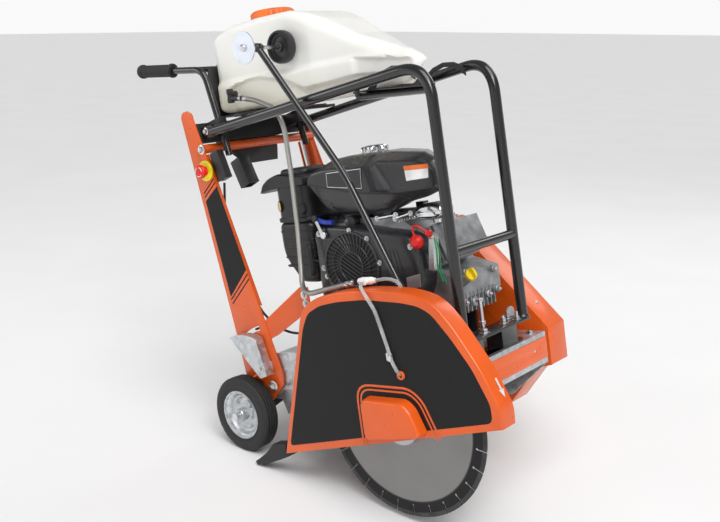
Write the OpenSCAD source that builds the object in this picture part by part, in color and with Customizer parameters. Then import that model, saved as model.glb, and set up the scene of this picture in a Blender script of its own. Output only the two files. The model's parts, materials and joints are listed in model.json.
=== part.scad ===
// Walk-behind concrete saw, standing on its four wheels with the blade raised.
// The saw frame is drawn level about the blade shaft, X forward, Y to the operator's left, Z up,
// and is then leaned back by its raised pitch. The wheel frame is drawn straight on the floor.

/* [Blade] */
// Diameter of the cutting blade
blade_d = 450; // [440:1:460]
// Thickness of the steel blade core
core_t = 2.8; // [2.4:0.1:3.2]
// Number of diamond segments around the rim
segment_count = 28; // [20:1:32]
// Depth of the gullets between the segments
gullet_h = 25; // [20:1:30]

/* [Stance] */
// Gap between the raised blade and the floor
blade_gap = 15; // [12:1:25]
// Nose-up pitch of the saw frame with the blade raised, in degrees
pitch = 10.3; // [8:0.1:11]

/* [Wheels] */
// Radius of the rear tyres
rear_r = 100; // [95:1:102]
// Radius of the front tyres
front_r = 80; // [75:1:82]
// Width of each tyre
tyre_w = 45; // [36:1:45]
// Radius of both axles
axle_r = 10; // [8:0.5:10]

/* [Frame] */
// Sheet thickness of the chassis and of the posts
plate = 4; // [3:0.5:5]
// Radius of the tubes of the front frame
tube_r = 12.5; // [11:0.5:13]
// Radius of the tubes of the handlebar and of the pointer arm
thin_tube_r = 9; // [8:0.5:10]

/* [Hidden] */
$fn = 48;

blade_r = blade_d / 2;
shaft_h = blade_r + blade_gap;
// Move from the blade shaft to the middle of the footprint
shift_x = 361.9;
shift_y = -236;

// Pivot of the saw frame on the wheel frame, in the saw frame's axes
pivot_x = -456;
pivot_z = 30;
pivot_floor_x = pivot_x * cos(pitch) - pivot_z * sin(pitch);
pivot_h = shaft_h + pivot_x * sin(pitch) + pivot_z * cos(pitch);
pivot_bolt_r = 8;
pivot_tube_r = 22;
running_gap = 0.05;

// Axles, measured forward from the blade shaft along the floor
rear_axle_x = -535;
front_axle_x = -125;
near_wheel_y = 0;
far_wheel_y = 475;
front_near_y = 98;
front_far_y = 250;

// Width stations of the frame
post_near_y = 50;
post_far_y = 465;
rail_near_y = 57;
rail_far_y = 362;
arm_near_y = 84;
arm_mid_y = 300;
arm_far_y = 424;
arm_t = 6;

// Levels of the chassis
deck_z = 120;
nose_x = 170;

// Lean of the console and the handlebar
lean = 12.5;

// Belt drive
crank_x = -168;
crank_z = 332;
crank_pulley_r = 42;
driven_pulley_r = 55;
pulley_y0 = 392;
pulley_y1 = 440;
belt_t = 6;
shaft_r = 17.5;

// Guard stations
guard_y0 = -40;
guard_y1 = 8;
guard_t = 2.5;
belt_guard_y0 = 379;
belt_guard_y1 = 455;

// Depth spindle inside the far post, and the lever that its nut works
lever_reach = 74.8;
lever_rest = 176.95;
spindle_lean = 8.65;
spindle_y = 449;
spindle_r = 7;
nut_x = pivot_x + lever_reach * cos(lever_rest);
nut_z = pivot_z + lever_reach * sin(lever_rest);

// Cut-line pointer arm
pointer_y0 = 27;
pointer_y1 = 43;
pointer_pivot = [100, 98];
pointer_head = [-318, 872];

// Lean of the handlebar legs and its height adjustment
handle_x = -574;
handle_z = 731;
handle_near_y = 100;
handle_far_y = 389;

// Stop button on the near post
stop_x = -595;
stop_z = 599;

// Recoil starter pull
pull_start = [-302, 96, 350];
pull_dir = [-0.985, 0, 0.174];

// Pivot of the throttle lever on the fan housing
throttle = [-240, 412];

function unit(v) = v / norm(v);

// Points of a rounded corner at b between a and c, cut back by r
function corner(a, b, c, r, n = 6) =
    let (p = b + unit(a - b) * r, q = b + unit(c - b) * r)
    [for (i = [0:n]) let (t = i / n) p * (1 - t) * (1 - t) + b * 2 * t * (1 - t) + q * t * t];

// Route through the points, with every inner corner rounded by r
function rounded_route(pts, r, n = 6) = concat(
    [pts[0]],
    [for (i = [1:len(pts) - 2]) each corner(pts[i - 1], pts[i], pts[i + 1], r, n)],
    [pts[len(pts) - 1]]);

function tangent(pts, i) = unit(pts[min(i + 1, len(pts) - 1)] - pts[max(i - 1, 0)]);

function ring(pts, i, r, sides, side_hint) =
    let (t = tangent(pts, i), u = unit(cross(t, side_hint)), v = cross(t, u))
    [for (k = [0:sides - 1]) pts[i] + r * (cos(360 * k / sides) * u + sin(360 * k / sides) * v)];

// Round tube swept along a route; side_hint is never parallel to the route
module swept(pts, r, sides = 12, side_hint = [0, 1, 0]) {
    count = len(pts);
    points = [for (i = [0:count - 1]) each ring(pts, i, r, sides, side_hint)];
    walls = [for (i = [0:count - 2], k = [0:sides - 1])
        [i * sides + k, (i + 1) * sides + k, (i + 1) * sides + (k + 1) % sides,
            i * sides + (k + 1) % sides]];
    start_cap = [for (k = [0:sides - 1]) k];
    end_cap = [for (k = [sides - 1:-1:0]) (count - 1) * sides + k];
    polyhedron(points = points, faces = concat([start_cap], walls, [end_cap]), convexity = 6);
}

// Frames of reference
module on_saw() translate([shift_x, shift_y, shaft_h]) rotate([0, -pitch, 0]) children();
module on_floor() translate([shift_x, shift_y, 0]) children();
module leaning(x, z, a = lean) translate([x, 0, z]) rotate([0, -a, 0]) children();

// Cylinder across the machine from y0 to y1
module across(x, z, y0, y1, r, fn = 48)
    translate([x, y0, z]) rotate([-90, 0, 0]) cylinder(h = y1 - y0, r = r, $fn = fn);

// Flat XZ outline made into a plate from y0 to y1
module plate_xz(y0, y1) translate([0, y1, 0]) rotate([90, 0, 0]) linear_extrude(y1 - y0) children();

// Straight bar between two points
module bar(a, b, r, fn = 24) {
    d = b - a;
    translate(a) rotate([0, acos(d[2] / norm(d)), atan2(d[1], d[0])]) cylinder(h = norm(d), r = r, $fn = fn);
}

// Hexagon head across the machine
module hex_across(x, z, y0, y1, r) across(x, z, y0, y1, r, 6);
module hex_up(x, y, z, h, r) translate([x, y, z]) cylinder(h = h, r = r, $fn = 6);

// ---------------------------------------------------------------- wheel frame and wheels

module arm_outline(front) {
    difference() {
        union() {
            hull() {
                translate([pivot_floor_x, pivot_h]) circle(r = 34);
                translate([rear_axle_x, rear_r]) circle(r = 22);
            }
            if (front) hull() {
                translate([pivot_floor_x, pivot_h]) circle(r = 34);
                translate([front_axle_x, front_r]) circle(r = 20);
            }
        }
        translate([rear_axle_x, rear_r]) circle(r = axle_r + running_gap);
        if (front) translate([front_axle_x, front_r]) circle(r = axle_r + running_gap);
    }
}

module lever_outline() {
    rest_angle = lever_rest + pitch;
    tip = [pivot_floor_x + lever_reach * cos(rest_angle), pivot_h + lever_reach * sin(rest_angle)];
    difference() {
        hull() {
            translate([pivot_floor_x, pivot_h]) circle(r = 34);
            translate(tip) circle(r = 16);
        }
        hull() for (s = [-3, 3]) translate(tip + s * [cos(rest_angle), sin(rest_angle)]) circle(r = 6.5);
    }
}

module wheel_frame() {
    color("dimgray") on_floor() difference() {
        union() {
            plate_xz(arm_near_y, arm_near_y + arm_t) arm_outline(true);
            plate_xz(arm_mid_y, arm_mid_y + arm_t) hull() {
                translate([pivot_floor_x, pivot_h]) circle(r = 34);
                translate([front_axle_x, front_r]) circle(r = 20);
            }
            plate_xz(arm_far_y, arm_far_y + arm_t) arm_outline(false);
            plate_xz(arm_far_y, arm_far_y + arm_t) lever_outline();
            across(pivot_floor_x, pivot_h, arm_near_y - 20, arm_far_y + 25, pivot_tube_r);
            across(-290, 134, arm_near_y + arm_t, arm_mid_y, 14);
            plate_xz(arm_near_y - 16, arm_near_y - 12) needle_outline();
            across(needle_tip()[0], needle_tip()[1], 47, arm_near_y - 14, 3, 24);
        }
        across(pivot_floor_x, pivot_h, arm_near_y - 21, arm_far_y + 26, pivot_bolt_r + running_gap);
        across(front_axle_x, front_r, arm_mid_y - 1, arm_mid_y + arm_t + 1, axle_r + running_gap);
    }
}

// Depth needle: a finger beside the near end of the pivot tube, with a pin out through the post's slot
needle_reach = 154;
needle_rest = 104;
function needle_tip() = [pivot_floor_x + needle_reach * cos(needle_rest + pitch),
    pivot_h + needle_reach * sin(needle_rest + pitch)];

module needle_outline() {
    hull() {
        translate([pivot_floor_x, pivot_h]) circle(r = pivot_tube_r + 3);
        translate(needle_tip()) circle(r = 6);
    }
}

module axles() {
    color("silver") on_floor() {
        across(rear_axle_x, rear_r, -20, far_wheel_y + tyre_w + 20, axle_r);
        across(front_axle_x, front_r, arm_near_y - 4, arm_mid_y + arm_t + 4, axle_r);
    }
}

// Pressed steel rim: two dished discs with a drop centre and a hub tube
module rim(r, w) {
    rotate_extrude(convexity = 6) polygon([
        [axle_r + running_gap, -w * 0.5 - 6], [axle_r + 5, -w * 0.5 - 6], [axle_r + 5, -4], [r * 0.62, -3],
        [r * 0.8, -w * 0.32], [r * 0.93, -w * 0.36], [r, -w * 0.5], [r + 2, -w * 0.5], [r + 2, -w * 0.44],
        [r - 2, -w * 0.3], [r - 2, w * 0.3], [r + 2, w * 0.44], [r + 2, w * 0.5], [r, w * 0.5],
        [r * 0.93, w * 0.36], [r * 0.8, w * 0.32], [r * 0.62, 3], [axle_r + 5, 4],
        [axle_r + 5, w * 0.5 + 6], [axle_r + running_gap, w * 0.5 + 6]]);
}

module tyre(r, rim_r, w) {
    rotate_extrude(convexity = 6) polygon([
        [rim_r + 2.05, -w * 0.43], [rim_r + 2.05, -w * 0.5 - 0.5], [rim_r + 8, -w * 0.5 - 1], [r - 12,
            -w * 0.5],
        [r - 4, -w * 0.42], [r - 1, -w * 0.3], [r - 0.2, -w * 0.17], [r - 3, -w * 0.15], [r - 3, -w * 0.12],
        [r, -w * 0.1], [r, w * 0.1], [r - 3, w * 0.12], [r - 3, w * 0.15], [r - 0.2, w * 0.17],
        [r - 1, w * 0.3], [r - 4, w * 0.42], [r - 12, w * 0.5], [rim_r + 8, w * 0.5 + 1],
        [rim_r + 2.05, w * 0.5 + 0.5], [rim_r + 2.05, w * 0.43], [rim_r - 1.9, w * 0.3], [rim_r - 1.9,
            -w * 0.3]]);
}

module wheel_place(x, r, y, w) on_floor() translate([x, y + w / 2, r]) rotate([-90, 0, 0]) children();

rear_rim_r = 62;
front_rim_r = 46;
front_w = 36;

module rear_rim_near() color("silver") wheel_place(rear_axle_x, rear_r, near_wheel_y, tyre_w)
    rim(rear_rim_r, tyre_w);
module rear_tyre_near() color("black") wheel_place(rear_axle_x, rear_r, near_wheel_y, tyre_w)
    tyre(rear_r, rear_rim_r, tyre_w);
module rear_rim_far() color("silver") wheel_place(rear_axle_x, rear_r, far_wheel_y, tyre_w)
    rim(rear_rim_r, tyre_w);
module rear_tyre_far() color("black") wheel_place(rear_axle_x, rear_r, far_wheel_y, tyre_w)
    tyre(rear_r, rear_rim_r, tyre_w);
module front_rim_near() color("silver") wheel_place(front_axle_x, front_r, front_near_y, front_w)
    rim(front_rim_r, front_w);
module front_tyre_near() color("black") wheel_place(front_axle_x, front_r, front_near_y, front_w)
    tyre(front_r, front_rim_r, front_w);
module front_rim_far() color("silver") wheel_place(front_axle_x, front_r, front_far_y, front_w)
    rim(front_rim_r, front_w);
module front_tyre_far() color("black") wheel_place(front_axle_x, front_r, front_far_y, front_w)
    tyre(front_r, front_rim_r, front_w);

// ---------------------------------------------------------------- chassis

module near_rail_outline() {
    difference() {
        union() {
            polygon([[-470, deck_z - plate], [-470, 70], [-430, -45], [60, -45],
                [nose_x, 45], [nose_x, deck_z - plate]]);
            translate([pivot_x, pivot_z]) circle(r = 38);
            circle(r = 45);
        }
        translate([pivot_x, pivot_z]) circle(r = pivot_bolt_r + running_gap);
        circle(r = shaft_r + 8);
    }
}

module far_rail_outline() {
    difference() {
        union() {
            polygon([[-395, deck_z - plate], [-395, 10], [-340, -45], [60, -45],
                [nose_x, 45], [nose_x, deck_z - plate]]);
            circle(r = 45);
        }
        circle(r = shaft_r + 8);
    }
}

// Foot plate beside the far post
module far_ear_outline() {
    difference() {
        union() {
            polygon([[-470, deck_z - plate], [-470, 60], [-440, 10], [-395, 70], [-395, deck_z - plate]]);
            translate([pivot_x, pivot_z]) circle(r = 32);
        }
        translate([pivot_x, pivot_z]) circle(r = pivot_bolt_r + running_gap);
    }
}

module chassis() {
    color("lightgray") on_saw() {
        plate_xz(rail_near_y, rail_near_y + plate) near_rail_outline();
        plate_xz(rail_far_y - plate, rail_far_y) far_rail_outline();
        // Deck, its outrigger to the far post, and the turned-down front
        translate([-425, rail_near_y, deck_z - plate]) cube([nose_x + 425, rail_far_y - rail_near_y, plate]);
        translate([-470, rail_far_y - 1, deck_z - plate]) cube([75, 97, plate]);
        translate([-399, rail_far_y - 1, 60]) cube([plate, 93, 58]);
        translate([nose_x - plate, rail_near_y, 45]) cube([plate, rail_far_y - rail_near_y, deck_z - 45]);
        plate_xz(454, 458) far_ear_outline();
        // Rounded ear behind the far foot of the tube frame
        translate([108, 298, deck_z - 1]) rotate([90, 0, 90]) linear_extrude(plate) {
            square([34, 54]);
            translate([17, 54]) circle(r = 17);
        }
        // Pin for the pointer arm, welded to the near rail
        across(pointer_pivot[0], pointer_pivot[1], 22, rail_near_y + 1, 6);
    }
}

module front_plate() {
    color("orangered") on_saw() difference() {
        translate([nose_x, rail_near_y + 3, 58]) cube([3, rail_far_y - rail_near_y - 6, 50]);
        for (y = [120, 305]) translate([nose_x - 1, y, 85]) rotate([0, 90, 0]) cylinder(h = 6, r = 4.2);
    }
}

module engine_base() {
    color("dimgray") on_saw() {
        translate([-300, 95, 188]) cube([310, 225, 8]);
        for (y = [95, 314]) translate([-300, y, deck_z]) cube([310, 6, 68.5]);
        for (y = [100, 290]) for (x = [-290, -30]) translate([x, y, deck_z]) cube([30, 25, 6]);
    }
}

// ---------------------------------------------------------------- rear posts and console

module post_outline() {
    difference() {
        union() {
            polygon([[-662, 740], [-577, 173], [-556, 10], [-481, -18], [-424, 34], [-420, 60],
                [-456, 189], [-560, 544], [-617, 738]]);
            translate([-644, 740]) circle(r = 18);
            translate([-632, 740]) circle(r = 15);
            translate([-644, 740]) square([12, 17.9]);
        }
        translate([pivot_x, pivot_z]) circle(r = pivot_bolt_r + running_gap);
    }
}

// Arc slot that the depth needle's pin moves along
module needle_slot() {
    half_w = 6;
    steps = 12;
    sweep = 31;
    for (i = [0:steps - 1]) {
        a = needle_rest - 4 + sweep * i / steps;
        b = a + sweep / steps;
        polygon([for (p = [[-half_w, a], [half_w, a], [half_w, b], [-half_w, b]])
            [pivot_x + (needle_reach + p[0]) * cos(p[1]), pivot_z + (needle_reach + p[0]) * sin(p[1])]]);
    }
}

// Turned-in edges of a post
module post_flanges(y0, y1) {
    plate_xz(y0, y1) polygon([[-478, 240], [-560, 520], [-594, 640], [-590, 641], [-556, 520], [-474, 240]]);
    plate_xz(y0, y1) polygon([[-645, 640], [-577, 173], [-573, 173], [-641, 640]]);
}

module rear_post_near() {
    color("orangered") on_saw() {
        difference() {
            plate_xz(post_near_y, post_near_y + plate) post_outline();
            plate_xz(post_near_y - 1, post_near_y + plate + 1) needle_slot();
            across(stop_x, stop_z, post_near_y - 1, post_near_y + plate + 1, 11.4);
        }
        post_flanges(post_near_y + plate - 0.5, post_near_y + 14);
        // Brace towards the engine
        plate_xz(post_near_y + plate - 0.5, post_near_y + plate + 2.5) difference() {
            polygon([[-470, 196], [-458, 150], [-420, 165], [-290, 236], [-290, 290], [-318, 290]]);
            translate([-306, 270]) circle(r = 5);
            translate([-303, 248]) circle(r = 5);
        }
        // Tab that carries the depth scale
        translate([-505, 24, 56]) rotate([0, -22, 0]) cube([36, 26.5, 4]);
    }
}

module rear_post_far() {
    color("orangered") on_saw() {
        plate_xz(post_far_y - plate, post_far_y) post_outline();
        post_flanges(post_far_y - 14, post_far_y - plate + 0.5);
    }
}

module post_tie() {
    color("orangered") on_saw() across(-600, 655, post_near_y + plate, post_far_y - plate, 12);
}

module depth_scale() {
    arc = [[-458, 162], [-476, 172], [-500, 178], [-525, 178], [-548, 172], [-566, 160], [-578, 146]];
    color("gray") on_saw() {
        plate_xz(20, 24) polygon(concat([[-508, 75], [-486, 70], [-476, 82]], arc));
        plate_xz(23.5, 45.5) polygon(concat(arc, [for (i = [len(arc) - 1:-1:0]) arc[i] - [0, 3]]));
        plate_xz(23.5, 45.5) polygon([[-476, 82], [-458, 162], [-461, 161], [-479, 83]]);
    }
}

// The console is drawn upright about the post tie, then leaned with the posts
console_x = -594;
console_z = 650;

// Distance of the handlebar legs in front of the console's own upright line
leg_offset = (handle_x - console_x) * cos(lean) + (handle_z - console_z) * sin(lean);

module console() {
    inner_w = post_far_y - post_near_y - 2 * plate;
    color("black") on_saw() {
        leaning(console_x, console_z) {
            translate([-10, post_near_y + plate, 22]) cube([4, inner_w, 54]);
            for (y = [post_near_y + plate, post_far_y - 2 * plate]) translate([-44, y, 22]) cube([35,
                plate, 54]);
            // Tapering gusset behind the post tie
            translate([-22, 120, 21]) cube([16, 225, 4]);
            translate([-22, 0, 0]) rotate([90, 0, 90]) linear_extrude(4)
                polygon([[120, 24], [345, 24], [320, -45], [200, -45]]);
            // Sockets for the legs of the handlebar
            for (y = [handle_near_y, handle_far_y]) difference() {
                translate([-7, y - 14, 38]) cube([leg_offset + 21, 28, 34]);
                translate([leg_offset, y, 30]) cylinder(h = 60, r = thin_tube_r + 0.4);
            }
        }
        // Open square tube under the gusset
        leaning(-600, 612, 21) difference() {
            translate([-32, 170, -68]) cube([38, 38, 78]);
            translate([-29, 173, -69]) cube([32, 32, 80]);
        }
    }
}

// ---------------------------------------------------------------- front tube frame

frame_rear_x = -570;
frame_rear_z = 698;
frame_top_z = 767;

function frame_route(rear_y, front_y) = rounded_route(
    [[frame_rear_x, rear_y, frame_rear_z], [145, front_y, frame_top_z], [150, front_y, 170.6]], 80, 8);

module tube_frame() {
    color("black") on_saw() {
        swept(frame_route(70, 65), tube_r, 16);
        swept(frame_route(420, 305), tube_r, 16);
        across(149, 365, 65 + tube_r - 1, 305 - tube_r + 1, 11);
        // Cross tube under the nose of the water tank
        across(-60, 722, 66 + tube_r, 325, 9);
        for (y = [68, 322]) translate([-60, y, 722]) cylinder(h = 20, r = 6);
        // Flattened rear ends against the console
        for (y = [66, 414]) translate([-606, y, 681]) rotate([0, -5.5, 0]) cube([44, 8, 30]);
    }
}

// Strip with one rounded end, drawn in plan
module rounded_strip(x0, x1, y0, y1, r) {
    translate([x0, y0]) square([x1 - x0, y1 - y0 - r]);
    translate([x0 + r, y1 - 2 * r]) square([x1 - x0 - 2 * r, 2 * r]);
    for (x = [x0 + r, x1 - r]) translate([x, y1 - r]) circle(r = r);
}

module front_bracket() {
    color("black") on_saw() {
        translate([0, 0, 165]) linear_extrude(5) rounded_strip(118, 172, 50, 320, 25);
        translate([0, 0, deck_z]) linear_extrude(4) rounded_strip(118, 166, 61, 288, 22);
        translate([120, 190, deck_z + 3]) cube([44, 62, 43]);
        translate([124, 62, deck_z + 3]) cube([40, 54, 43]);
    }
}

module frame_bolts() {
    color("silver") on_saw() {
        // Pivot bolt through both post feet and the wheel frame
        across(pivot_x, pivot_z, post_near_y - 6, post_far_y + 6, pivot_bolt_r);
        hex_across(pivot_x, pivot_z, post_near_y - 11, post_near_y - 6.1, 14);
        hex_across(pivot_x, pivot_z, post_far_y + 6.1, post_far_y + 11, 14);
        // Post tie
        hex_across(-600, 655, post_near_y - 8, post_near_y, 10);
        hex_across(-600, 655, post_far_y, post_far_y + 8, 10);
        // Front bracket: hexagon bolt, jacking bolt with its lock nut, studs with nuts
        hex_up(150, 143, 170, 8, 11);
        translate([137, 158, 170]) cylinder(h = 68, r = 5);
        hex_up(137, 158, 238.1, 7, 10);
        for (p = [[146, 228], [156, 270], [128, 274]]) {
            translate([p[0], p[1], 178.1]) cylinder(h = 12, r = 4);
            hex_up(p[0], p[1], 170, 8, 8);
        }
        hex_up(146, 334, deck_z, 7, 9);
        // Front plate
        for (y = [120, 305]) translate([nose_x + 0.1, y, 85]) rotate([0, 90, 0]) cylinder(h = 2.9, r = 3.8);
        // Depth scale and brace
        hex_across(-492, 82, 14, 20, 8);
        for (p = [[-306, 270], [-303, 248]]) hex_across(p[0], p[1], 48, 53.5, 8);
        // Retaining nut of the pointer arm
        hex_across(pointer_pivot[0], pointer_pivot[1], 16, 22, 9);
    }
}

// ---------------------------------------------------------------- water tank

module tank_tray() {
    color("black") on_saw() {
        translate([-606, 116, 733]) cube([4, 256, 130]);
        translate([-606, 116, 730]) cube([170, 256, 4]);
        // Cross bar lying on both tubes of the frame
        translate([-470, 62, 723.6]) cube([30, 348, 7.4]);
        // Low arch that keeps the nose of the tank in place
        translate([-100, 100, 731]) cube([80, 210, 4]);
        for (y = [100, 292]) plate_xz(y, y + 4)
            polygon([[-60, 732], [-40, 750], [-10, 769], [20, 777], [50, 774], [72, 763], [80, 748], [80,
                738],
                [66, 750], [46, 763], [20, 766], [-6, 758], [-28, 742], [-36, 732]]);
    }
}

// Outlines of the tank from the side, from above and from behind
module tank_side() polygon(rounded_route([[-200, 735], [-560, 735], [-600, 760], [-600, 926], [-520, 961],
    [-310, 955], [-220, 922], [-130, 877], [-40, 840], [24, 816], [56, 793], [40, 766], [-14, 735], [-150,
        735]], 11, 3));
module tank_plan() polygon(rounded_route([[-400, 125], [-240, 125], [-150, 142], [34, 150], [56, 168],
    [46, 206], [8, 244],
    [-60, 284], [-130, 306], [-250, 345], [-340, 370], [-580, 375], [-600, 352], [-600, 148], [-580, 125],
        [-420, 125]], 9, 3));
module tank_back() polygon([[125, 730], [125, 800], [136, 822], [136, 930], [150, 966],
    [352, 966], [370, 945], [375, 900], [375, 730]]);

tank_neck = [-470, 250];

module water_tank() {
    color("ivory") on_saw() {
        intersection() {
            plate_xz(100, 400) tank_side();
            translate([0, 0, 700]) linear_extrude(300) tank_plan();
            translate([-700, 0, 0]) rotate([90, 0, 90]) linear_extrude(800) tank_back();
            // The near side of the nose stops short of the keel
            union() {
                translate([-700, 100, 770]) cube([800, 300, 230]);
                translate([-700, 100, 700]) cube([415, 300, 71]);
                translate([-286, 166, 700]) cube([400, 240, 71]);
            }
        }
        translate([tank_neck[0], tank_neck[1], 950]) cylinder(h = 28, r = 48);
    }
}

module tank_cap() {
    color("orangered") on_saw() translate([tank_neck[0], tank_neck[1], 965.6]) difference() {
        cylinder(h = 24, r = 58);
        translate([0, 0, -1]) cylinder(h = 14, r = 48.5);
    }
}

function hose_route() = rounded_route([[-474, 106, 769], [-425, 102, 758], [-352, 96, 728], [-326, 90, 680],
    [-317, 82, 577], [-308, 68, 431], [-300, 52, 340], [-284, 30, 298], [-240, 2, 284], [-177, 2, 296.5],
        [-84, 2, 313.4]], 16, 3);

module water_hose() color("silver") on_saw() swept(hose_route(), 6, 12, [0.2, 1, 0.1]);

// White branch piece on the rim of the blade guard
tee_x = -50;
tee_z = 316.5;

module hose_fittings() {
    color("dimgray") on_saw() {
        // Elbow on the tank
        across(-520, 784, 104, 125, 9);
        translate([-520, 106, 762]) cylinder(h = 36, r = 9);
        bar([-514, 106, 773], [-475.4, 106, 769.1], 6.5);
        // Branch piece
        bar([-82, 2, 313.8], [-60, 2, tee_z], 6.5);
        bar([-62, 2, tee_z], [-22, 2, tee_z + 1.5], 8);
        bar([tee_x, 2, tee_z], [tee_x + 8, -18, tee_z], 6);
        // Clips on the guard
        translate([24, -52, 150]) cube([18, 12, 14]);
        translate([43, -54, 110]) rotate([-90, 0, 0]) cylinder(h = 14, r = 9);
        translate([31, 8, 236]) cube([16, 13, 12]);
    }
}

spray_a = [[-42, -18.3, 316.5], [-32, -42, 316], [-20, -47.5, 302], [4, -46.5, 263], [22, -46.5, 197],
    [30, -46.5, 164.5]];
spray_b = [[-21.6, 2, 318], [8, 4, 322], [34, 14, 312], [39, 14, 280], [39, 14, 248.5]];

module spray_hoses() {
    color("white") on_saw() {
        swept(rounded_route(spray_a, 8, 3), 4, 10, [1, 0.3, 0.5]);
        swept(rounded_route(spray_b, 8, 3), 4, 10, [0.1, 1, 0.05]);
    }
}

// ---------------------------------------------------------------- blade guard

// Outline from the front of the open edge, over the top, to the rear of the open edge
guard_front = [293, 21];
guard_rear = [-355, -108];
guard_top = [[295, 60], [257, 142], [200, 229], [166, 268], [135, 288], [80, 301], [-20, 305], [-110, 299],
    [-175, 286], [-216, 266], [-236, 240]];

function inset(p, d) = [for (i = [0:len(p) - 1])
    let (a = p[(i + len(p) - 1) % len(p)], b = p[i], c = p[(i + 1) % len(p)], u = unit(b - a),
        v = unit(c - b),
        n = [-u[1], u[0]], m = [-v[1], v[0]])
    b + (n + m) * d / (1 + n * m)];

function guard_edge() = rounded_route(concat([guard_front], guard_top, [guard_rear]), 14, 3);

module guard_outline() polygon(guard_edge());

// The same outline one sheet thickness in, run past the open edge
module guard_inside() {
    p = inset(guard_edge(), guard_t);
    n = len(p) - 1;
    polygon(concat([p[0] + unit(p[0] - p[1]) * 12], [for (i = [1:n - 1]) p[i]],
        [p[n] + unit(p[n] - p[n - 1]) * 12]));
}

hump = [[-64, -34], [105, -12], [78, 50], [57, 66], [-64, 65]];
hump_y = -68;

module blade_guard() {
    color("orangered") on_saw() {
        difference() {
            plate_xz(guard_y0, guard_y1) guard_outline();
            plate_xz(guard_y0 + guard_t, guard_y1 - guard_t) guard_inside();
            plate_xz(guard_y0 - 1, guard_y0 + guard_t + 1) polygon(inset(hump, guard_t));
            // Slot in the far sheet that drops over the blade shaft
            across(0, 0, 0, guard_y1 + 1, 64);
            translate([-64, 0, -130]) cube([128, guard_y1 + 1, 130]);
        }
        difference() {
            plate_xz(hump_y, guard_y0 + 0.5) polygon(hump);
            plate_xz(hump_y + guard_t, guard_y0 + 1) polygon(inset(hump, guard_t));
        }
        // Spacers to the near rail
        for (p = [[-210, 85], [-110, -28], [-255, 60]]) across(p[0], p[1], guard_y1 - 1, rail_near_y, 9);
    }
}

module guard_flap() {
    color("black") on_saw() plate_xz(guard_y0 + 4, -7)
        polygon([[-345, -107.5], [-356.5, -109.8], [-357.5, -106], [-354, -90], [-362, -87], [-402, -92],
            [-430, -118], [-462, -138], [-478, -147], [-471, -155.5], [-425, -145], [-380, -130], [-350,
                -118]]);
}

// ---------------------------------------------------------------- belt drive

belt_edge = [[170, 125], [-71, 391], [-90, 398], [-240, 398], [-258, 385], [-262, 330],
    [-78, -40], [-45, -75], [40, -75], [127, 22], [170, 32]];

module belt_guard() {
    color("orangered") on_saw() difference() {
        plate_xz(belt_guard_y0, belt_guard_y1) polygon(belt_edge);
        plate_xz(belt_guard_y0 - 1, belt_guard_y1 - 3) polygon(inset(belt_edge, 3));
    }
}

module belt_guard_back() {
    color("orangered") on_saw() {
        difference() {
            plate_xz(belt_guard_y0 - 2.5, belt_guard_y0) polygon(belt_edge);
            across(0, 0, belt_guard_y0 - 5, belt_guard_y0 + 5, 30);
            across(crank_x, crank_z, belt_guard_y0 - 5, belt_guard_y0 + 5, 26);
        }
        for (p = [[110, 70], [-60, 70], [60, -10]]) across(p[0], p[1], rail_far_y, belt_guard_y0 - 2, 9);
        // Screw bosses on the slope of the guard
        for (p = [[-86, 385], [120, 156]]) across(p[0], p[1] - 4, belt_guard_y0 - 0.5,
            belt_guard_y0 + 0.01, 4);
    }
}

module pulley(r, bore) {
    groove = 7;
    rotate_extrude(convexity = 8) polygon(concat(
        [[bore, 0], [r, 0], [r, 3]],
        [for (i = [0:2]) each [[r, 4 + i * 14], [r - groove, 8 + i * 14], [r - groove, 12 + i * 14], [r,
            16 + i * 14]]],
        [[r, 48], [bore, 48]]));
}

module driven_pulley() {
    color("dimgray") on_saw() translate([0, pulley_y0, 0]) rotate([-90, 0, 0]) pulley(driven_pulley_r,
        shaft_r + 0.05);
}

module crank_pulley() {
    color("dimgray") on_saw() translate([crank_x, pulley_y0, crank_z]) rotate([-90, 0, 0])
        pulley(crank_pulley_r, 12.55);
}

module belt_outline(d) hull() {
    circle(r = driven_pulley_r + d, $fn = 96);
    translate([crank_x, crank_z]) circle(r = crank_pulley_r + d, $fn = 96);
}

module drive_belt() {
    color("black") on_saw() plate_xz(pulley_y0 + 4, pulley_y1 - 4) difference() {
        belt_outline(0.5 + belt_t);
        belt_outline(0.5);
    }
}

module shaft_bearings() {
    color("dimgray") on_saw() for (y = [rail_near_y + plate, rail_far_y - plate - 24]) difference() {
        union() {
            across(0, 0, y, y + 24, 36);
            // Four-cornered flange on the rail
            translate([-42, y < 200 ? y : y + 14, -42]) cube([84, 10, 84]);
        }
        across(0, 0, y - 1, y + 25, shaft_r + running_gap);
    }
}

// ---------------------------------------------------------------- blade

module blade_shaft() {
    color("silver") on_saw() {
        across(0, 0, 11.5, 446, shaft_r);
        across(0, 0, -26, 11.6, 12.65);
        across(0, 0, 12, 50, 24);
    }
}

segment_h = 10;
gap_w = 3;

module saw_blade() {
    core_r = blade_r - segment_h;
    color("gray") on_saw() translate([0, -core_t / 2, 0]) rotate([-90, 0, 0]) difference() {
        cylinder(h = core_t, r = core_r, $fn = 180);
        translate([0, 0, -1]) cylinder(h = core_t + 2, r = 12.7);
        for (i = [0:segment_count - 1]) rotate([0, 0, i * 360 / segment_count]) {
            translate([blade_r - gullet_h, -gap_w / 2, -1]) cube([gullet_h, gap_w, core_t + 2]);
            translate([blade_r - gullet_h, 0, -1]) cylinder(h = core_t + 2, r = 3, $fn = 16);
        }
    }
}

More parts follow.
